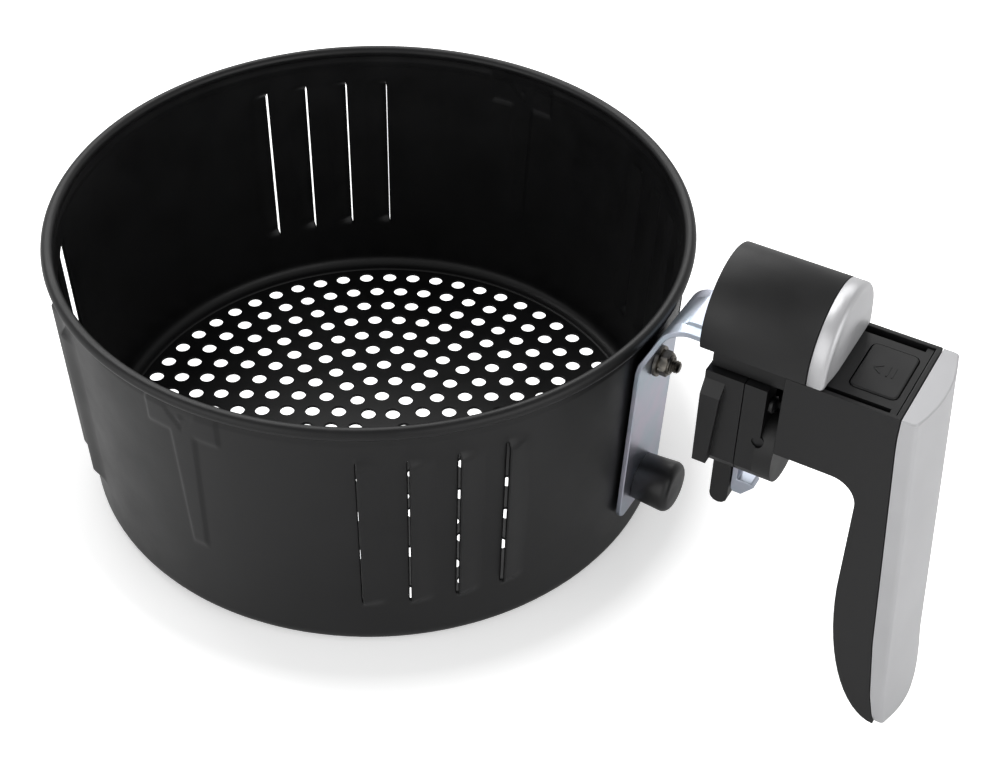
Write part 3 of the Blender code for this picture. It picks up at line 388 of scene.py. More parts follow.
edges_of_louvres = []
columns = set()
for centre in LOUVRE_CENTRES:
    free = centre - arc_degrees(LOUVRE_WIDTH) / 2
    edges_of_louvres.append(free)
    columns |= {round(free + arc_degrees(place), 3) % 360 for place in LOUVRE_COLUMNS}
for centre in MARK_CENTRES:
    places = [MARK_COLUMN_STEP * i for i in range(-MARK_COLUMNS, MARK_COLUMNS + 1)]
    columns |= {round(centre + arc_degrees(place), 3) % 360 for place in places}
columns = sorted(columns)
filled = []
for start, end in zip(columns, columns[1:] + [columns[0] + 360]):
    parts = max(1, round((end - start) / COLUMN_STEP))
    filled += [start + (end - start) * i / parts for i in range(parts)]

profile = [(FLOOR_RADIUS, 0.0)]
for i in range(FILLET_STEPS + 1):
    angle = math.pi / 2 * (i / FILLET_STEPS - 1)
    corner = FOOT_RADIUS - FOOT_FILLET
    profile.append((corner + FOOT_FILLET * math.cos(angle), FOOT_FILLET + FOOT_FILLET * math.sin(angle)))
rows = round((RIM_HEIGHT - BEAD_RADIUS - FOOT_FILLET) / ROW_STEP)
for i in range(1, rows + 1):
    height = FOOT_FILLET + (RIM_HEIGHT - BEAD_RADIUS - FOOT_FILLET) * i / rows
    profile.append((wall_radius(height), height))

bm = bmesh.new()
start = math.radians(filled[0])
verts = [bm.verts.new((r * MM * math.cos(start), r * MM * math.sin(start), z * MM)) for r, z in profile]
strip = [bm.edges.new(pair) for pair in zip(verts, verts[1:])]
geometry = verts + strip
for here, there in zip(filled, filled[1:] + [filled[0] + 360]):
    swept = bmesh.ops.spin(
        bm, geom=geometry, cent=(0, 0, 0), axis=(0, 0, 1), angle=math.radians(there - here), steps=1
    )
    geometry = swept["geom_last"]
bmesh.ops.remove_doubles(bm, verts=bm.verts, dist=1e-6)


def azimuth(point):
    """Angle round the basket, in degrees, from the handle's side."""
    return math.degrees(math.atan2(point.y, point.x)) % 360


def off_by(angle, centre):
    """Signed difference of two angles in degrees."""
    return (angle - centre + 180) % 360 - 180


slits = []
for edge in bm.edges:
    middle = (edge.verts[0].co + edge.verts[1].co) / 2
    upright = abs(edge.verts[0].co.z - edge.verts[1].co.z) > 0.5 * ROW_STEP * MM
    if upright and LOUVRE_LOW + SLIT_MARGIN < middle.z / MM < LOUVRE_HIGH - SLIT_MARGIN:
        if any(abs(off_by(azimuth(middle), free)) < ANGLE_SLACK for free in edges_of_louvres):
            slits.append(edge)
bmesh.ops.split_edges(bm, edges=slits)

for vert in bm.verts:
    height = vert.co.z / MM
    if height < FOOT_FILLET:
        continue
    around = azimuth(vert.co)
    press = 0.0
    slide = 0.0
    if LOUVRE_LOW < height < LOUVRE_HIGH:
        beside = [face.calc_center_median() for face in vert.link_faces]
        side = azimuth(sum(beside, Vector()) / len(beside))
        for free in edges_of_louvres:
            across = math.radians(off_by(around, free)) * TOP_RADIUS
            if -0.01 < across < LOUVRE_WIDTH and off_by(side, free) > ANGLE_SLACK:
                ends = smooth(min(height - LOUVRE_LOW, LOUVRE_HIGH - height) / LOUVRE_END)
                share = 1 - across / LOUVRE_WIDTH
                press = LOUVRE_DEPTH * ends * smooth(share * LOUVRE_CURVE) / smooth(LOUVRE_CURVE)
                slide = LOUVRE_GAP * ends * share
    for centre in MARK_CENTRES:
        across = math.radians(off_by(around, centre)) * TOP_RADIUS
        if abs(across) < MARK_BAR[0] + MARK_MARGIN:
            press = MARK_DEPTH * (mark_press(across, height) - SIGN_SHARE * level_sign(across, height))
    outward = Vector((vert.co.x, vert.co.y, 0)).normalized()
    along = Vector((-outward.y, outward.x, 0))
    vert.co += (outward * press + along * slide) * MM
bmesh.ops.recalc_face_normals(bm, faces=bm.faces)
bmesh.ops.solidify(bm, geom=bm.faces[:], thickness=SHEET * MM)

ring = []
for i in range(BEAD_SIDES):
    angle = 2 * math.pi * i / BEAD_SIDES
    radius = RIM_RADIUS - BEAD_RADIUS + BEAD_RADIUS * math.cos(angle)
    height = RIM_HEIGHT - BEAD_RADIUS + BEAD_RADIUS * math.sin(angle)
    ring.append(bm.verts.new((radius * MM, 0, height * MM)))
loop = [bm.edges.new((ring[i], ring[(i + 1) % BEAD_SIDES])) for i in range(BEAD_SIDES)]
bmesh.ops.spin(
    bm,
    geom=ring + loop,
    cent=(0, 0, 0),
    axis=(0, 0, 1),
    angle=2 * math.pi,
    steps=BEAD_STEPS,
    use_merge=True,
)
bmesh.ops.recalc_face_normals(bm, faces=bm.faces)
finish_piece(bm, "coated_wall", coating, "basket", ["basket_wall"])


# Basket floor. The same coated sheet, with ten rings of 5 mm holes punched through it.
HOLE_RADIUS = 2.5
HOLE_PITCH = 8.384
HOLE_RINGS = 10
HOLES_PER_RING = 6  # times the ring's number
FIRST_HOLE = 30.0  # degrees
HOLE_SIDES = 20
FLOOR_SIDES = 120
EDGE_ROUND = 0.15

punched = bpy.data.curves.new("punched_floor", "CURVE")
punched.dimensions = "2D"
punched.fill_mode = "BOTH"
punched.extrude = (SHEET / 2 - EDGE_ROUND) * MM
punched.bevel_depth = EDGE_ROUND * MM
punched.bevel_resolution = 1
punched.offset = -EDGE_ROUND * MM


def add_circle(curve, centre, radius, sides):
    """A closed outline with straight sides, in mm."""
    spline = curve.splines.new("POLY")
    spline.points.add(sides - 1)
    spline.use_cyclic_u = True
    for i, point in enumerate(spline.points):
        angle = 2 * math.pi * i / sides
        place = (centre[0] + radius * math.cos(angle), centre[1] + radius * math.sin(angle), 0)
        point.co = (*(value * MM for value in place), 1)


add_circle(punched, (0, 0), FLOOR_RADIUS, FLOOR_SIDES)
for ring_number in range(1, HOLE_RINGS + 1):
    for i in range(HOLES_PER_RING * ring_number):
        angle = math.radians(FIRST_HOLE + 360 / HOLES_PER_RING * i / ring_number)
        out = ring_number * HOLE_PITCH
        add_circle(punched, (out * math.cos(angle), out * math.sin(angle)), HOLE_RADIUS, HOLE_SIDES)
guide = bpy.data.objects.new("punched_floor_guide", punched)
bpy.context.scene.collection.objects.link(guide)
bpy.context.view_layer.update()
flat = bpy.data.meshes.new_from_object(guide.evaluated_get(bpy.context.evaluated_depsgraph_get()))
bpy.data.objects.remove(guide)
flat.transform(Matrix.Translation((0, 0, SHEET / 2 * MM)))
bm = bmesh.new()
bm.from_mesh(flat)
bpy.data.meshes.remove(flat)
bmesh.ops.remove_doubles(bm, verts=bm.verts, dist=1e-6)
finish_piece(bm, "punched_floor", coating, "basket", ["perforated_floor"], sharp=15)


# Handle bracket. A 1.6 mm steel strap, blanked, bent over the rim and zinc plated. Its neck has a
# flat stiffening band pressed up along its middle, and its tail is screwed down inside the handle.
STRAP_THICK = 1.6
STRAP_HALF = 13.0
TAIL_HALF = 8.5
STRAP_CORNER = 4.0
STRAP_STAND_OFF = 0.3
STRAP_LEAN = math.radians(24.6)
STRAP_BEND = 9.0
BAND_HALF = 6.6
BAND_EDGE = 0.7
BAND_RISE = 0.7
EDGE_BREAK = 0.25
NECK_HALF = 11.0
RISE_NARROWING = 0.8
BEND_NARROWING = 1.2
CORNER_STEPS = 6
SIDE_STEPS = 16
RISE_STEPS = 6
BEND_STEPS = 12
NECK_STEPS = 12
ROLLING_LINES = 90.0  # per metre along the strap
ROLLING_STRETCH = 14.0  # times as many across it
strap_low, strap_high = (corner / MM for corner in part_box("handle_bracket"))
NECK_HEIGHT = strap_high.z - STRAP_THICK / 2
KINK_DROP = 11.0
KINK_HEIGHT = RIM_HEIGHT - KINK_DROP
NECK_REACH = 18.5
SHOULDER = RIM_RADIUS + NECK_REACH
STRAP_END = strap_high.x

# Zinc with a blue passivation, on rolled sheet: it mirrors the room softly, with a blue to violet
# cast and faint streaks along the strap.
zinc, zinc_shader = new_material("blue_zinc_plate", "C3C9D2", 0.28, 1.0)
coords, dents = mottle(zinc, zinc_shader, ("B9C6D2", "CFC9D8"), (0.28, 0.36), 16.0, 0.0008, 0.5)
stretched = add_node(zinc, "ShaderNodeMapping", {}, {"Vector": coords, "Scale": (1.0, ROLLING_STRETCH, 1.0)})
streaks = add_node(
    zinc,
    "ShaderNodeTexNoise",
    {},
    {"Vector": stretched.outputs["Vector"], "Scale": ROLLING_LINES, "Detail": 3.0},
)
rolled_marks = add_node(
    zinc,
    "ShaderNodeBump",
    {},
    {
        "Height": streaks.outputs["Fac"],
        "Strength": 0.5,
        "Distance": 0.002 * MM,
        "Normal": dents.outputs["Normal"],
    },
)
zinc.node_tree.links.new(rolled_marks.outputs["Normal"], zinc_shader.inputs["Normal"])


def strap_line():
    """Points (x, z, half width) up the middle of the strap to its tail, and where its neck starts."""
    out = STRAP_STAND_OFF + STRAP_THICK / 2
    line = []
    for i in range(CORNER_STEPS + 1):
        angle = math.pi / 2 * i / CORNER_STEPS
        height = strap_low.z + STRAP_CORNER * (1 - math.cos(angle))
        line.append((wall_radius(height) + out, height, STRAP_HALF - STRAP_CORNER * (1 - math.sin(angle))))
    kink = Vector((wall_radius(KINK_HEIGHT) + out, KINK_HEIGHT))
    side_low = strap_low.z + STRAP_CORNER
    for i in range(1, SIDE_STEPS + 1):
        height = side_low + (KINK_HEIGHT - 2 - side_low) * i / SIDE_STEPS
        line.append((wall_radius(height) + out, height, STRAP_HALF))
    meet = kink.x + (NECK_HEIGHT - kink.y) * math.tan(STRAP_LEAN)
    turn = math.pi / 2 - STRAP_LEAN
    centre = Vector((meet + STRAP_BEND * math.tan(turn / 2), NECK_HEIGHT - STRAP_BEND))
    first = centre + STRAP_BEND * Vector((-math.sin(turn), math.cos(turn)))
    for i in range(RISE_STEPS):
        point = kink.lerp(first, 0.1 + 0.9 * i / RISE_STEPS)
        line.append((point.x, point.y, STRAP_HALF - RISE_NARROWING * smooth(i / RISE_STEPS)))
    for i in range(BEND_STEPS + 1):
        left = turn * (1 - i / BEND_STEPS)
        half = STRAP_HALF - RISE_NARROWING - BEND_NARROWING * i / BEND_STEPS
        line.append((centre.x - STRAP_BEND * math.sin(left), centre.y + STRAP_BEND * math.cos(left), half))
    for i in range(1, NECK_STEPS + 1):
        line.append((centre.x + (SHOULDER - centre.x) * i / NECK_STEPS, NECK_HEIGHT, NECK_HALF))
    line.append((SHOULDER + 1.0, NECK_HEIGHT, TAIL_HALF))
    line.append((STRAP_END, NECK_HEIGHT, TAIL_HALF))
    return line, centre.x


def loft(bm, rings):
    """A closed skin through rings that all have the same number of points, in mm."""
    loops = []
    for ring in rings:
        verts = [bm.verts.new([value * MM for value in point]) for point in ring]
        loops.append([bm.edges.new((verts[i - 1], verts[i])) for i in range(len(verts))])
    for one, other in zip(loops, loops[1:]):
        bmesh.ops.bridge_loops(bm, edges=one + other)
    for loop in (loops[0], loops[-1]):
        bmesh.ops.contextual_create(bm, geom=loop)
    bmesh.ops.recalc_face_normals(bm, faces=bm.faces)


def strap_ring(here, across, half, rise):
    """Section of the strap: its face and its back with the band in both, and its broken edges."""
    face = [(-half + EDGE_BREAK, 0.0), (-BAND_HALF - BAND_EDGE, 0.0)]
    face += [(-BAND_HALF - BAND_EDGE / 2, rise / 2), (-BAND_HALF, rise), (0.0, rise)]
    face += [(-y, up) for y, up in face[3::-1]]
    if half < BAND_HALF + BAND_EDGE + EDGE_BREAK:
        face = [((half - EDGE_BREAK) * (i / 4 - 1), 0.0) for i in range(9)]
    thick = STRAP_THICK / 2
    section = [(-half, -thick + EDGE_BREAK), (-half, thick - EDGE_BREAK)]
    section += [(y, up + thick) for y, up in face]
    section += [(half, thick - EDGE_BREAK), (half, -thick + EDGE_BREAK)]
    section += [(y, up - thick) for y, up in face[::-1]]
    return [(here.x + across.x * up, y, here.y + across.y * up) for y, up in section]


line, neck_start = strap_line()
rings = []
for i, (x, z, half) in enumerate(line):
    before, after = line[max(i - 1, 0)], line[min(i + 1, len(line) - 1)]
    along = Vector((after[0] - before[0], after[1] - before[1])).normalized()
    rise = BAND_RISE * smooth((x - neck_start + 6.0) / 5.0) * smooth((SHOULDER + 2.0 - x) / 3.0)
    rings.append(strap_ring(Vector((x, z)), Vector((-along.y, along.x)), half, rise))
bm = bmesh.new()
loft(bm, rings)
finish_piece(bm, "zinc_strap", zinc, "basket", ["handle_bracket"], sharp=40)


# Bracket nut, washer and screw. A lock nut with chamfered corners and a nylon collar is run up a
# machine screw from inside the basket, over a plain washer. All three are darker steel.
# Plain steel that has dulled: it still shines, but an uneven oxide darkens and breaks up the shine.
steel, steel_shader = new_material("dull_screw_steel", "77726A", 0.36, 1.0)
mottle(steel, steel_shader, ("625E57", "88837B"), (0.3, 0.46), 1.6, 0.01, 0.25)


def turned(bm, profile, height, steps=48):
    """A body of revolution about a level axis. The profile's points are (place along it, radius)."""
    verts = [bm.verts.new((x * MM, 0, (height + radius) * MM)) for x, radius in profile]
    edges = [bm.edges.new(pair) for pair in zip(verts, verts[1:])]
    bmesh.ops.spin(
        bm,
        geom=verts + edges,
        cent=(0, 0, height * MM),
        axis=(1, 0, 0),
        angle=2 * math.pi,
        steps=steps,
        use_merge=True,
    )
    bmesh.ops.remove_doubles(bm, verts=bm.verts, dist=1e-6)
    bmesh.ops.recalc_face_normals(bm, faces=bm.faces)


NUT_HALF_FLATS = 3.5
NUT_CHAMFER = 3.7
NUT_POINTS = 72
NUT_UNCUT = 5.0  # radius past the corners
COLLAR_RADIUS = 3.1
COLLAR_LENGTH = 0.7
nut_low, nut_high = (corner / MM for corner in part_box("bracket_nut"))
screw_axis = (nut_low.z + nut_high.z) / 2
washer_low, washer_high = (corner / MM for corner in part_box("bracket_washer"))
stud_low, stud_high = (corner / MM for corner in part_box("bracket_screw"))


def nut_ring(x, limit):
    """The nut's hexagon at x, with its corners cut off at a radius."""
    ring = []
    for i in range(NUT_POINTS):
        angle = 2 * math.pi * i / NUT_POINTS
        flat = NUT_HALF_FLATS / math.cos((angle + math.pi / 6) % (math.pi / 3) - math.pi / 6)
        reach = min(flat, limit)
        ring.append((x, reach * math.sin(angle), screw_axis + reach * math.cos(angle)))
    return ring


bm = bmesh.new()
collar = nut_high.x - COLLAR_LENGTH
rings = [nut_ring(nut_low.x, NUT_CHAMFER - 0.15), nut_ring(nut_low.x + 0.35, NUT_UNCUT)]
rings += [nut_ring(collar - 0.35, NUT_UNCUT), nut_ring(collar, NUT_CHAMFER - 0.15)]
rings += [nut_ring(collar + 0.01, COLLAR_RADIUS), nut_ring(nut_high.x - 0.25, COLLAR_RADIUS)]
rings += [nut_ring(nut_high.x, 2.85), nut_ring(nut_high.x, 2.35), nut_ring(nut_high.x - 0.35, 2.15)]
loft(bm, rings)
finish_piece(bm, "lock_nut", steel, "basket", ["bracket_nut"], sharp=28)

bm = bmesh.new()
washer_radius = (washer_high.z - washer_low.z) / 2
WASHER_BORE = 2.25
WASHER_EDGE = 0.2
flat_radius = washer_radius - WASHER_EDGE
profile = [(washer_low.x, WASHER_BORE), (washer_low.x, flat_radius)]
profile += [(washer_low.x + WASHER_EDGE, washer_radius), (washer_high.x - WASHER_EDGE, washer_radius)]
profile += [(washer_high.x, flat_radius), (washer_high.x, WASHER_BORE), profile[0]]
turned(bm, profile, screw_axis)
finish_piece(bm, "plain_washer", steel, "basket", ["bracket_washer"], sharp=40)

THREAD_PITCH = 0.7
THREAD_DEPTH = 0.3
THREAD_RADIUS = 2.0
bm = bmesh.new()
head_radius = (stud_high.z - stud_low.z) / 2
profile = [(stud_low.x + 0.5, 0.0), (stud_low.x, head_radius * 0.55)]
profile += [(stud_low.x + 0.9, head_radius * 0.92), (stud_low.x + 1.5, head_radius)]
profile += [(stud_low.x + 2.2, head_radius), (stud_low.x + 2.2, THREAD_RADIUS)]
x = nut_low.x - 1.0
while x < stud_high.x - 0.7:
    profile += [(x, THREAD_RADIUS), (x + THREAD_PITCH / 2, THREAD_RADIUS - THREAD_DEPTH)]
    x += THREAD_PITCH
profile += [(stud_high.x - 0.5, 1.9), (stud_high.x, 1.4), (stud_high.x, 0.0)]
turned(bm, profile, screw_axis)
finish_piece(bm, "machine_screw", steel, "basket", ["bracket_screw"], sharp=50)


# Bumper. A solid rubber stop, moulded with a rounded end, screwed on low down the strap so that the
# basket can't tip forward in the drawer. A screw from behind holds it.
# Moulded rubber: broad, soft highlights on a skin that is slightly uneven.
rubber, rubber_shader = new_material("moulded_rubber", "0C0C0D", 0.4)
mottle(rubber, rubber_shader, ("0A0A0B", "0E0E10"), (0.34, 0.46), 5.0, 0.008, 0.4)
bumper_low, bumper_high = (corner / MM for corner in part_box("bumper"))
bumper_axis = (bumper_low.z + bumper_high.z) / 2
bumper_radius = (bumper_high.z - bumper_low.z) / 2
BUMPER_EDGE = 2.4
BUMPER_CROWN = 0.4
BUMPER_STEPS = 8
bm = bmesh.new()
profile = [(bumper_low.x, 0.0), (bumper_low.x, bumper_radius - 0.9)]
profile += [(bumper_low.x + 0.3, bumper_radius - 0.6)]
length = bumper_high.x - bumper_low.x - BUMPER_CROWN - BUMPER_EDGE
for i in range(BUMPER_STEPS + 1):
    angle = math.pi / 2 * i / BUMPER_STEPS
    radius = bumper_radius - BUMPER_EDGE * (1 - math.cos(angle))
    profile.append((bumper_low.x + length + BUMPER_EDGE * math.sin(angle), radius))
profile += [(bumper_high.x - 0.12, bumper_radius * 0.4), (bumper_high.x, 0.0)]
turned(bm, profile, bumper_axis, steps=64)
finish_piece(bm, "rubber_bumper", rubber, "basket", ["bumper"])


# Handle moulding. One hollow injection moulding in black plastic: the arm, the neck under the strap
# and the grip. It is fixed by two screws through the strap's tail.

# The mould's spark-eroded grain is pressed into the plastic and scatters the light, so flat faces
# are satin and rounded edges show as soft grey lines.
plastic, plastic_shader = new_material("textured_black_plastic", "0F0F10", 0.5)
mottle(plastic, plastic_shader, ("0D0D0E", "121213"), (0.44, 0.54), 12.0, 0.02, 0.45)
EDGE_SEGMENTS = 3
EDGE_ANGLE = 30  # degrees between two faces from which an edge counts as sharp


def rounded_copy(name, node, width, material, body):
    """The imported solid's own shape with its sharp edges rounded, which takes that node's place."""
    bm = bmesh.new()
    bm.from_mesh(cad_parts[node].data)
    bmesh.ops.remove_doubles(bm, verts=bm.verts, dist=1e-6)
    bmesh.ops.dissolve_limit(bm, angle_limit=math.radians(1), verts=bm.verts, edges=bm.edges)
    paired = [edge for edge in bm.edges if len(edge.link_faces) == 2]
    sharp = [edge for edge in paired if edge.calc_face_angle() > math.radians(EDGE_ANGLE)]
    if width:
        bmesh.ops.bevel(
            bm,
            geom=sharp,
            offset=width * MM,
            offset_type="OFFSET",
            affect="EDGES",
            segments=EDGE_SEGMENTS,
            profile=0.5,
            material=-1,
            clamp_overlap=True,
        )
    piece = finish_piece(bm, name, material, body, [node], sharp=EDGE_ANGLE + 5)
    even = piece.modifiers.new("flat_faces_stay_flat", "WEIGHTED_NORMAL")
    even.keep_sharp = True
    return piece


rounded_copy("grip_moulding", "handle_body", 0.5, plastic, "basket")


# Silver back trim. A separate shell, moulded and sprayed with metallic lacquer, that clips over the
# back of the grip. Its top is flat, its sides are narrow bands and its back is crowned.
# Sprayed lacquer full of fine flakes: a soft silver sheen with no sharp reflections.
lacquer, lacquer_shader = new_material("silver_lacquer", "C9C9CB", 0.36, 0.55)
FLAKE_SIZE = 0.12
coords, dents = mottle(lacquer, lacquer_shader, ("C6C6C8", "CCCCCE"), (0.34, 0.38), 30.0, 0.003, 0.3)
flakes = add_node(lacquer, "ShaderNodeTexVoronoi", {}, {"Vector": coords, "Scale": 1 / (FLAKE_SIZE * MM)})
tilts = add_node(
    lacquer,
    "ShaderNodeBump",
    {},
    {
        "Height": flakes.outputs["Distance"],
        "Strength": 0.12,
        "Distance": 0.02 * MM,
        "Normal": dents.outputs["Normal"],
    },
)
lacquer.node_tree.links.new(tilts.outputs["Normal"], lacquer_shader.inputs["Normal"])
TRIM_WALL = 1.8
TRIM_GAP = 0.3
TRIM_TOP_WIDTH = 4.9
TRIM_LEAN = 0.083
TRIM_BEND = 20.0  # height of the stretch at the foot that curves outward
TRIM_CROWN = 2.4
RIDGE_ROUND = 1.4
FOOT_ROUND = 7.0
TOP_BREAK = 0.35
CROWN_POINTS = 24
RIDGE_STEPS = 6
RIDGE_FOOT = 15.9  # how far behind the arm the ridge ends
TRIM_LEVELS = 40
trim_low, trim_high = (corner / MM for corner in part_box("back_trim"))
body_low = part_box("handle_body")[0] / MM
ARM_REAR = trim_low.x - TRIM_GAP
PARTING = (
    (ARM_REAR, trim_high.z - 8.0),
    (ARM_REAR + 6.6, body_low.z + 34.0),
    (ARM_REAR + 9.5, body_low.z + 12.0),
    (ARM_REAR + 12.5, trim_low.z),
)


def parting_at(height):
    """Where the trim starts behind the grip, at a height."""
    if height >= PARTING[0][1]:
        return ARM_REAR + TRIM_GAP
    for (x, z), (next_x, next_z) in zip(PARTING, PARTING[1:]):
        if height >= next_z:
            return x + (next_x - x) * (z - height) / (z - next_z) + TRIM_GAP
    return PARTING[-1][0] + TRIM_GAP


def ridge_at(height):
    """Where the side band meets the crowned back, at a height."""
    foot = ARM_REAR + RIDGE_FOOT
    straight = ARM_REAR + TRIM_TOP_WIDTH + TRIM_LEAN * (trim_high.z - height)
    plain_foot = ARM_REAR + TRIM_TOP_WIDTH + TRIM_LEAN * (trim_high.z - trim_low.z)
    below = max(0.0, trim_low.z + TRIM_BEND - height) / TRIM_BEND
    return straight + (foot - plain_foot) * below**2


def trim_outline(front, half, ridge):
    """Outline of the trim's section, from one front edge round its crowned back to the other."""
    path = [(front, -half), ((front + ridge - RIDGE_ROUND) / 2, -half)]
    for i in range(RIDGE_STEPS + 1):
        angle = math.pi / 2 * i / RIDGE_STEPS
        back = ridge - RIDGE_ROUND * (1 - math.sin(angle))
        path.append((back, -half + RIDGE_ROUND * (1 - math.cos(angle))))
    for i in range(1, CROWN_POINTS // 2):
        across = 2 * i / CROWN_POINTS - 1
        path.append((ridge + TRIM_CROWN * (1 - across**2), (half - RIDGE_ROUND) * across))
    return path + [(ridge + TRIM_CROWN, 0.0)] + [(x, -y) for x, y in path[::-1]]


def trim_ring(height, inset, wall):
    """Section of the trim, drawn in by inset. It is hollow inside a wall, or solid with none."""
    front = parting_at(height)
    low = max(0.0, 1 - (height - trim_low.z) / FOOT_ROUND)
    pulled = FOOT_ROUND * 0.45 * (1 - math.sqrt(1 - min(low, 1.0) ** 2))
    half = trim_high.y - inset - pulled
    ridge = ridge_at(height) - inset - 0.2 * pulled
    skin = trim_outline(front, half, ridge)
    if wall:
        hollow = trim_outline(front, half - wall, ridge - wall)
    else:
        last = len(skin) - 1
        hollow = [(front, half * (2 * i / last - 1) * 0.98) for i in range(last + 1)]
    return [(x, y, height) for x, y in skin + hollow[::-1]]


inner_top = trim_high.z - TRIM_WALL
inner_foot = trim_low.z + TRIM_WALL
rings = [trim_ring(trim_low.z, TOP_BREAK, 0.0), trim_ring(trim_low.z + TOP_BREAK, 0.0, 0.0)]
rings += [trim_ring(inner_foot - 0.01, 0.0, 0.0)]
for i in range(TRIM_LEVELS + 1):
    level = inner_foot + (inner_top - inner_foot) * (1 - math.cos(math.pi / 2 * i / TRIM_LEVELS))
    rings.append(trim_ring(level, 0.0, TRIM_WALL))
rings += [trim_ring(inner_top + 0.01, 0.0, 0.0), trim_ring(trim_high.z - TOP_BREAK, 0.0, 0.0)]
rings += [trim_ring(trim_high.z, TOP_BREAK, 0.0)]
bm = bmesh.new()
loft(bm, rings)
finish_piece(bm, "silver_trim", lacquer, "basket", ["back_trim"], sharp=30)


# Deck plate. It closes the arm from above, sunk between its sides, with a slot along each side for
# the guard and an opening for the button. Two screws through it hold the strap on the neck.
rounded_copy("deck", "deck_plate", 0.25, plastic, "basket")
for name in ("neck_screw_front", "neck_screw_rear"):
    rounded_copy("deck_" + name, name, 0.15, steel, "basket")


# Release button. A moulded key with a stem, in the deck's opening, with an arrow of four thin bars
# raised on its face. It presses the lever's arm down against two springs.
rounded_copy("button_key", "release_button", 0.5, plastic, "button")
BAR_WIDTH = 0.5
BAR_RISE = 0.12
BARS = (  # place along and across the key, angle in degrees, length
    (-2.0, 0.9, 40.0, 2.8),
    (-2.0, -0.9, -40.0, 2.8),
    (1.0, 0.0, 90.0, 4.4),
    (2.6, 0.0, 90.0, 4.4),
)
key_low, key_high = (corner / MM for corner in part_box("release_button"))
bm = bmesh.new()
for along, across, angle, length in BARS:
    size = Matrix.Diagonal((length * MM, BAR_WIDTH * MM, 2 * BAR_RISE * MM, 1))
    place = Vector(((key_low.x + key_high.x) / 2 + along, across, key_high.z)) * MM
    where = Matrix.Translation(place) @ Matrix.Rotation(math.radians(angle), 4, "Z")
    bmesh.ops.create_cube(bm, size=1.0, matrix=where @ size)
finish_piece(bm, "button_arrow", plastic, "button", sharp=30)


# Sliding guard. A moulded hood that runs along the deck and covers the button, with a silver cap on
# its end and a carriage below that hooks into the deck's two slots.
GUARD_WALL = 1.8
ARC_POINTS = 64
hood_low, hood_high = (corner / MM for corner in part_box("guard_hood"))
cap_low, cap_high = (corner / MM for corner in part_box("guard_cap"))
guard_radius = hood_high.y
guard_axis = hood_high.z - guard_radius


def guard_outline(x, inset, drop=0.0):
    """The guard's arch at x, from its right foot over to its left one, drawn in by inset."""
    radius = guard_radius - inset
    foot = math.asin((hood_low.z + drop - guard_axis) / radius)
    ring = []
    for i in range(ARC_POINTS + 1):
        angle = foot + (math.pi - 2 * foot) * i / ARC_POINTS
        ring.append((x, radius * math.cos(angle), guard_axis + radius * math.sin(angle)))
    return ring


def hood_ring(x, inset):
    """The hood's section at x, outside and inside, drawn in by inset."""
    return guard_outline(x, inset, inset) + guard_outline(x, GUARD_WALL - inset, inset)[::-1]


HOOD_EDGE = 0.5
HOOD_STEPS = 3
JOINT_BREAK = 0.15
bm = bmesh.new()
rings = []
for i in range(HOOD_STEPS, -1, -1):
    angle = math.pi / 2 * i / HOOD_STEPS
    rings.append(hood_ring(hood_low.x + HOOD_EDGE * (1 - math.sin(angle)), HOOD_EDGE * (1 - math.cos(angle))))
rings += [hood_ring(hood_high.x - JOINT_BREAK, 0.0), hood_ring(hood_high.x, JOINT_BREAK)]
loft(bm, rings)
finish_piece(bm, "guard_shell", plastic, "guard", ["guard_hood"], sharp=50)

CAP_EDGE = 1.5
CAP_DOME = 1.6
CAP_FLAT = 0.5  # share of the radius at which the dome ends
CAP_RISE = 4.0
CAP_STEPS = 6
DOME_STEPS = 8
bm = bmesh.new()
rings = [guard_outline(cap_low.x, JOINT_BREAK, JOINT_BREAK), guard_outline(cap_low.x + JOINT_BREAK, 0.0)]
shoulder = cap_high.x - CAP_DOME
for i in range(CAP_STEPS + 1):
    angle = math.pi / 2 * i / CAP_STEPS
    inset = CAP_EDGE * (1 - math.cos(angle))
    rings.append(guard_outline(shoulder - CAP_EDGE + CAP_EDGE * math.sin(angle), inset, inset))
for i in range(1, DOME_STEPS + 1):
    share = i / DOME_STEPS
    inset = CAP_EDGE + (guard_radius * CAP_FLAT - CAP_EDGE) * share
    out = shoulder + CAP_DOME * math.sin(math.pi / 2 * share)
    rings.append(guard_outline(out, inset, CAP_EDGE + CAP_RISE * share))
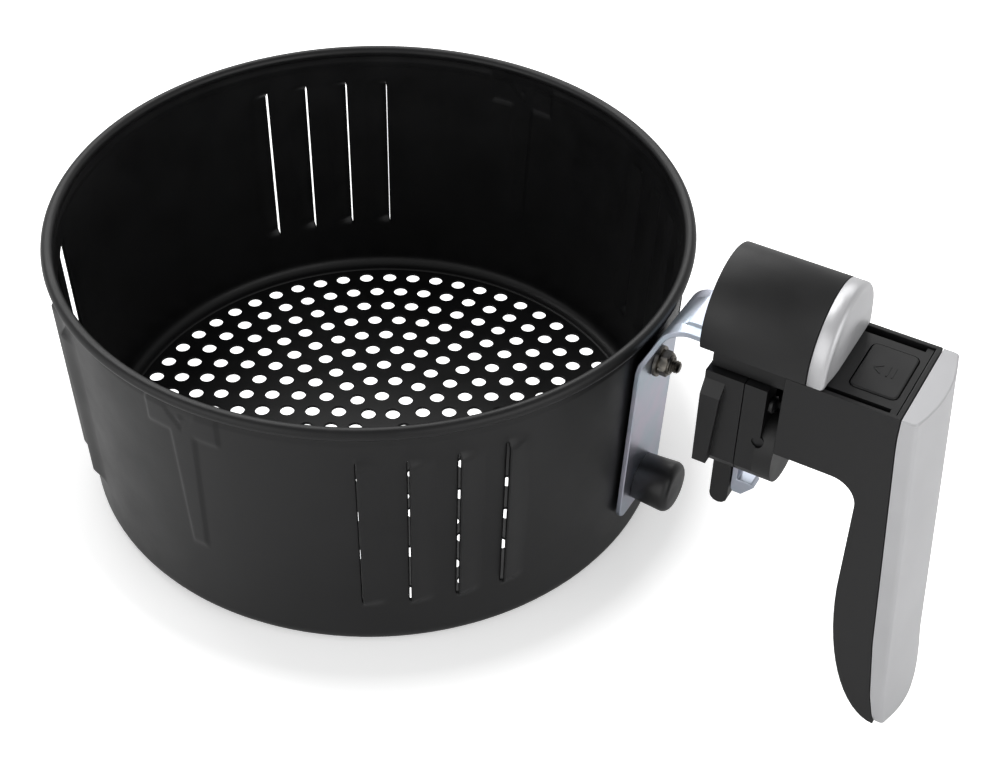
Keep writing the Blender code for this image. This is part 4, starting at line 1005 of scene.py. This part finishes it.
loft(bm, rings)
finish_piece(bm, "guard_end_cap", lacquer, "guard", ["guard_cap"], sharp=60)
rounded_copy("guard_slide", "guard_carriage", 0.3, plastic, "guard")


# Latch block. Two moulded halves with a parting groove, screwed together under the neck, with a
# tapered guide rib on each side. They carry the lever on its pin.
rounded_copy("latch_front", "latch_housing_front", 0.5, plastic, "basket")
rounded_copy("latch_rear", "latch_housing_rear", 0.5, plastic, "basket")

# Steel blackened in an oxide bath: near black, with a dull shine that plastic lacks.
black_steel, black_steel_shader = new_material("black_oxide_steel", "0F0F10", 0.4)
mottle(black_steel, black_steel_shader, ("0C0C0D", "141416"), (0.35, 0.5), 2.0, 0.006, 0.25)
for name in ("housing_screw_left", "housing_screw_right"):
    rounded_copy("latch_" + name, name, 0.15, black_steel, "basket")
PIN_RADIUS = 1.75
PIN_HALF = 11.5
pin_low, pin_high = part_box("lever_pin")
bm = bmesh.new()
where = Matrix.Translation((pin_low + pin_high) / 2) @ Matrix.Rotation(math.pi / 2, 4, "X")
bmesh.ops.create_cone(
    bm,
    cap_ends=True,
    segments=32,
    radius1=PIN_RADIUS * MM,
    radius2=PIN_RADIUS * MM,
    depth=2 * PIN_HALF * MM,
    matrix=where,
)
finish_piece(bm, "latch_pin", black_steel, "basket", ["lever_pin"], sharp=40)
rounded_copy("bumper_fixing", "bumper_screw", 0.15, steel, "basket")


# Release lever and catch. The moulded lever turns on the pin and carries a plated steel catch on a
# rivet, whose nose hooks under the drawer's front wall.
rounded_copy("lever_moulding", "release_lever", 0.6, plastic, "lever")
rounded_copy("catch", "catch_hook", 0.3, zinc, "lever")
rounded_copy("catch_rivet", "hook_rivet", 0.15, steel, "lever")


# Springs. Two small compression springs in steel wire: one lifts the button and the other lifts the
# lever's arm, which holds the catch closed.
SPRING_KEPT = (("button_spring", 0.71), ("lever_spring", 0.8))  # share of the height left
for name, kept in SPRING_KEPT:
    coil = rounded_copy("wire_" + name, name, 0.0, steel, "basket")
    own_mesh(coil)
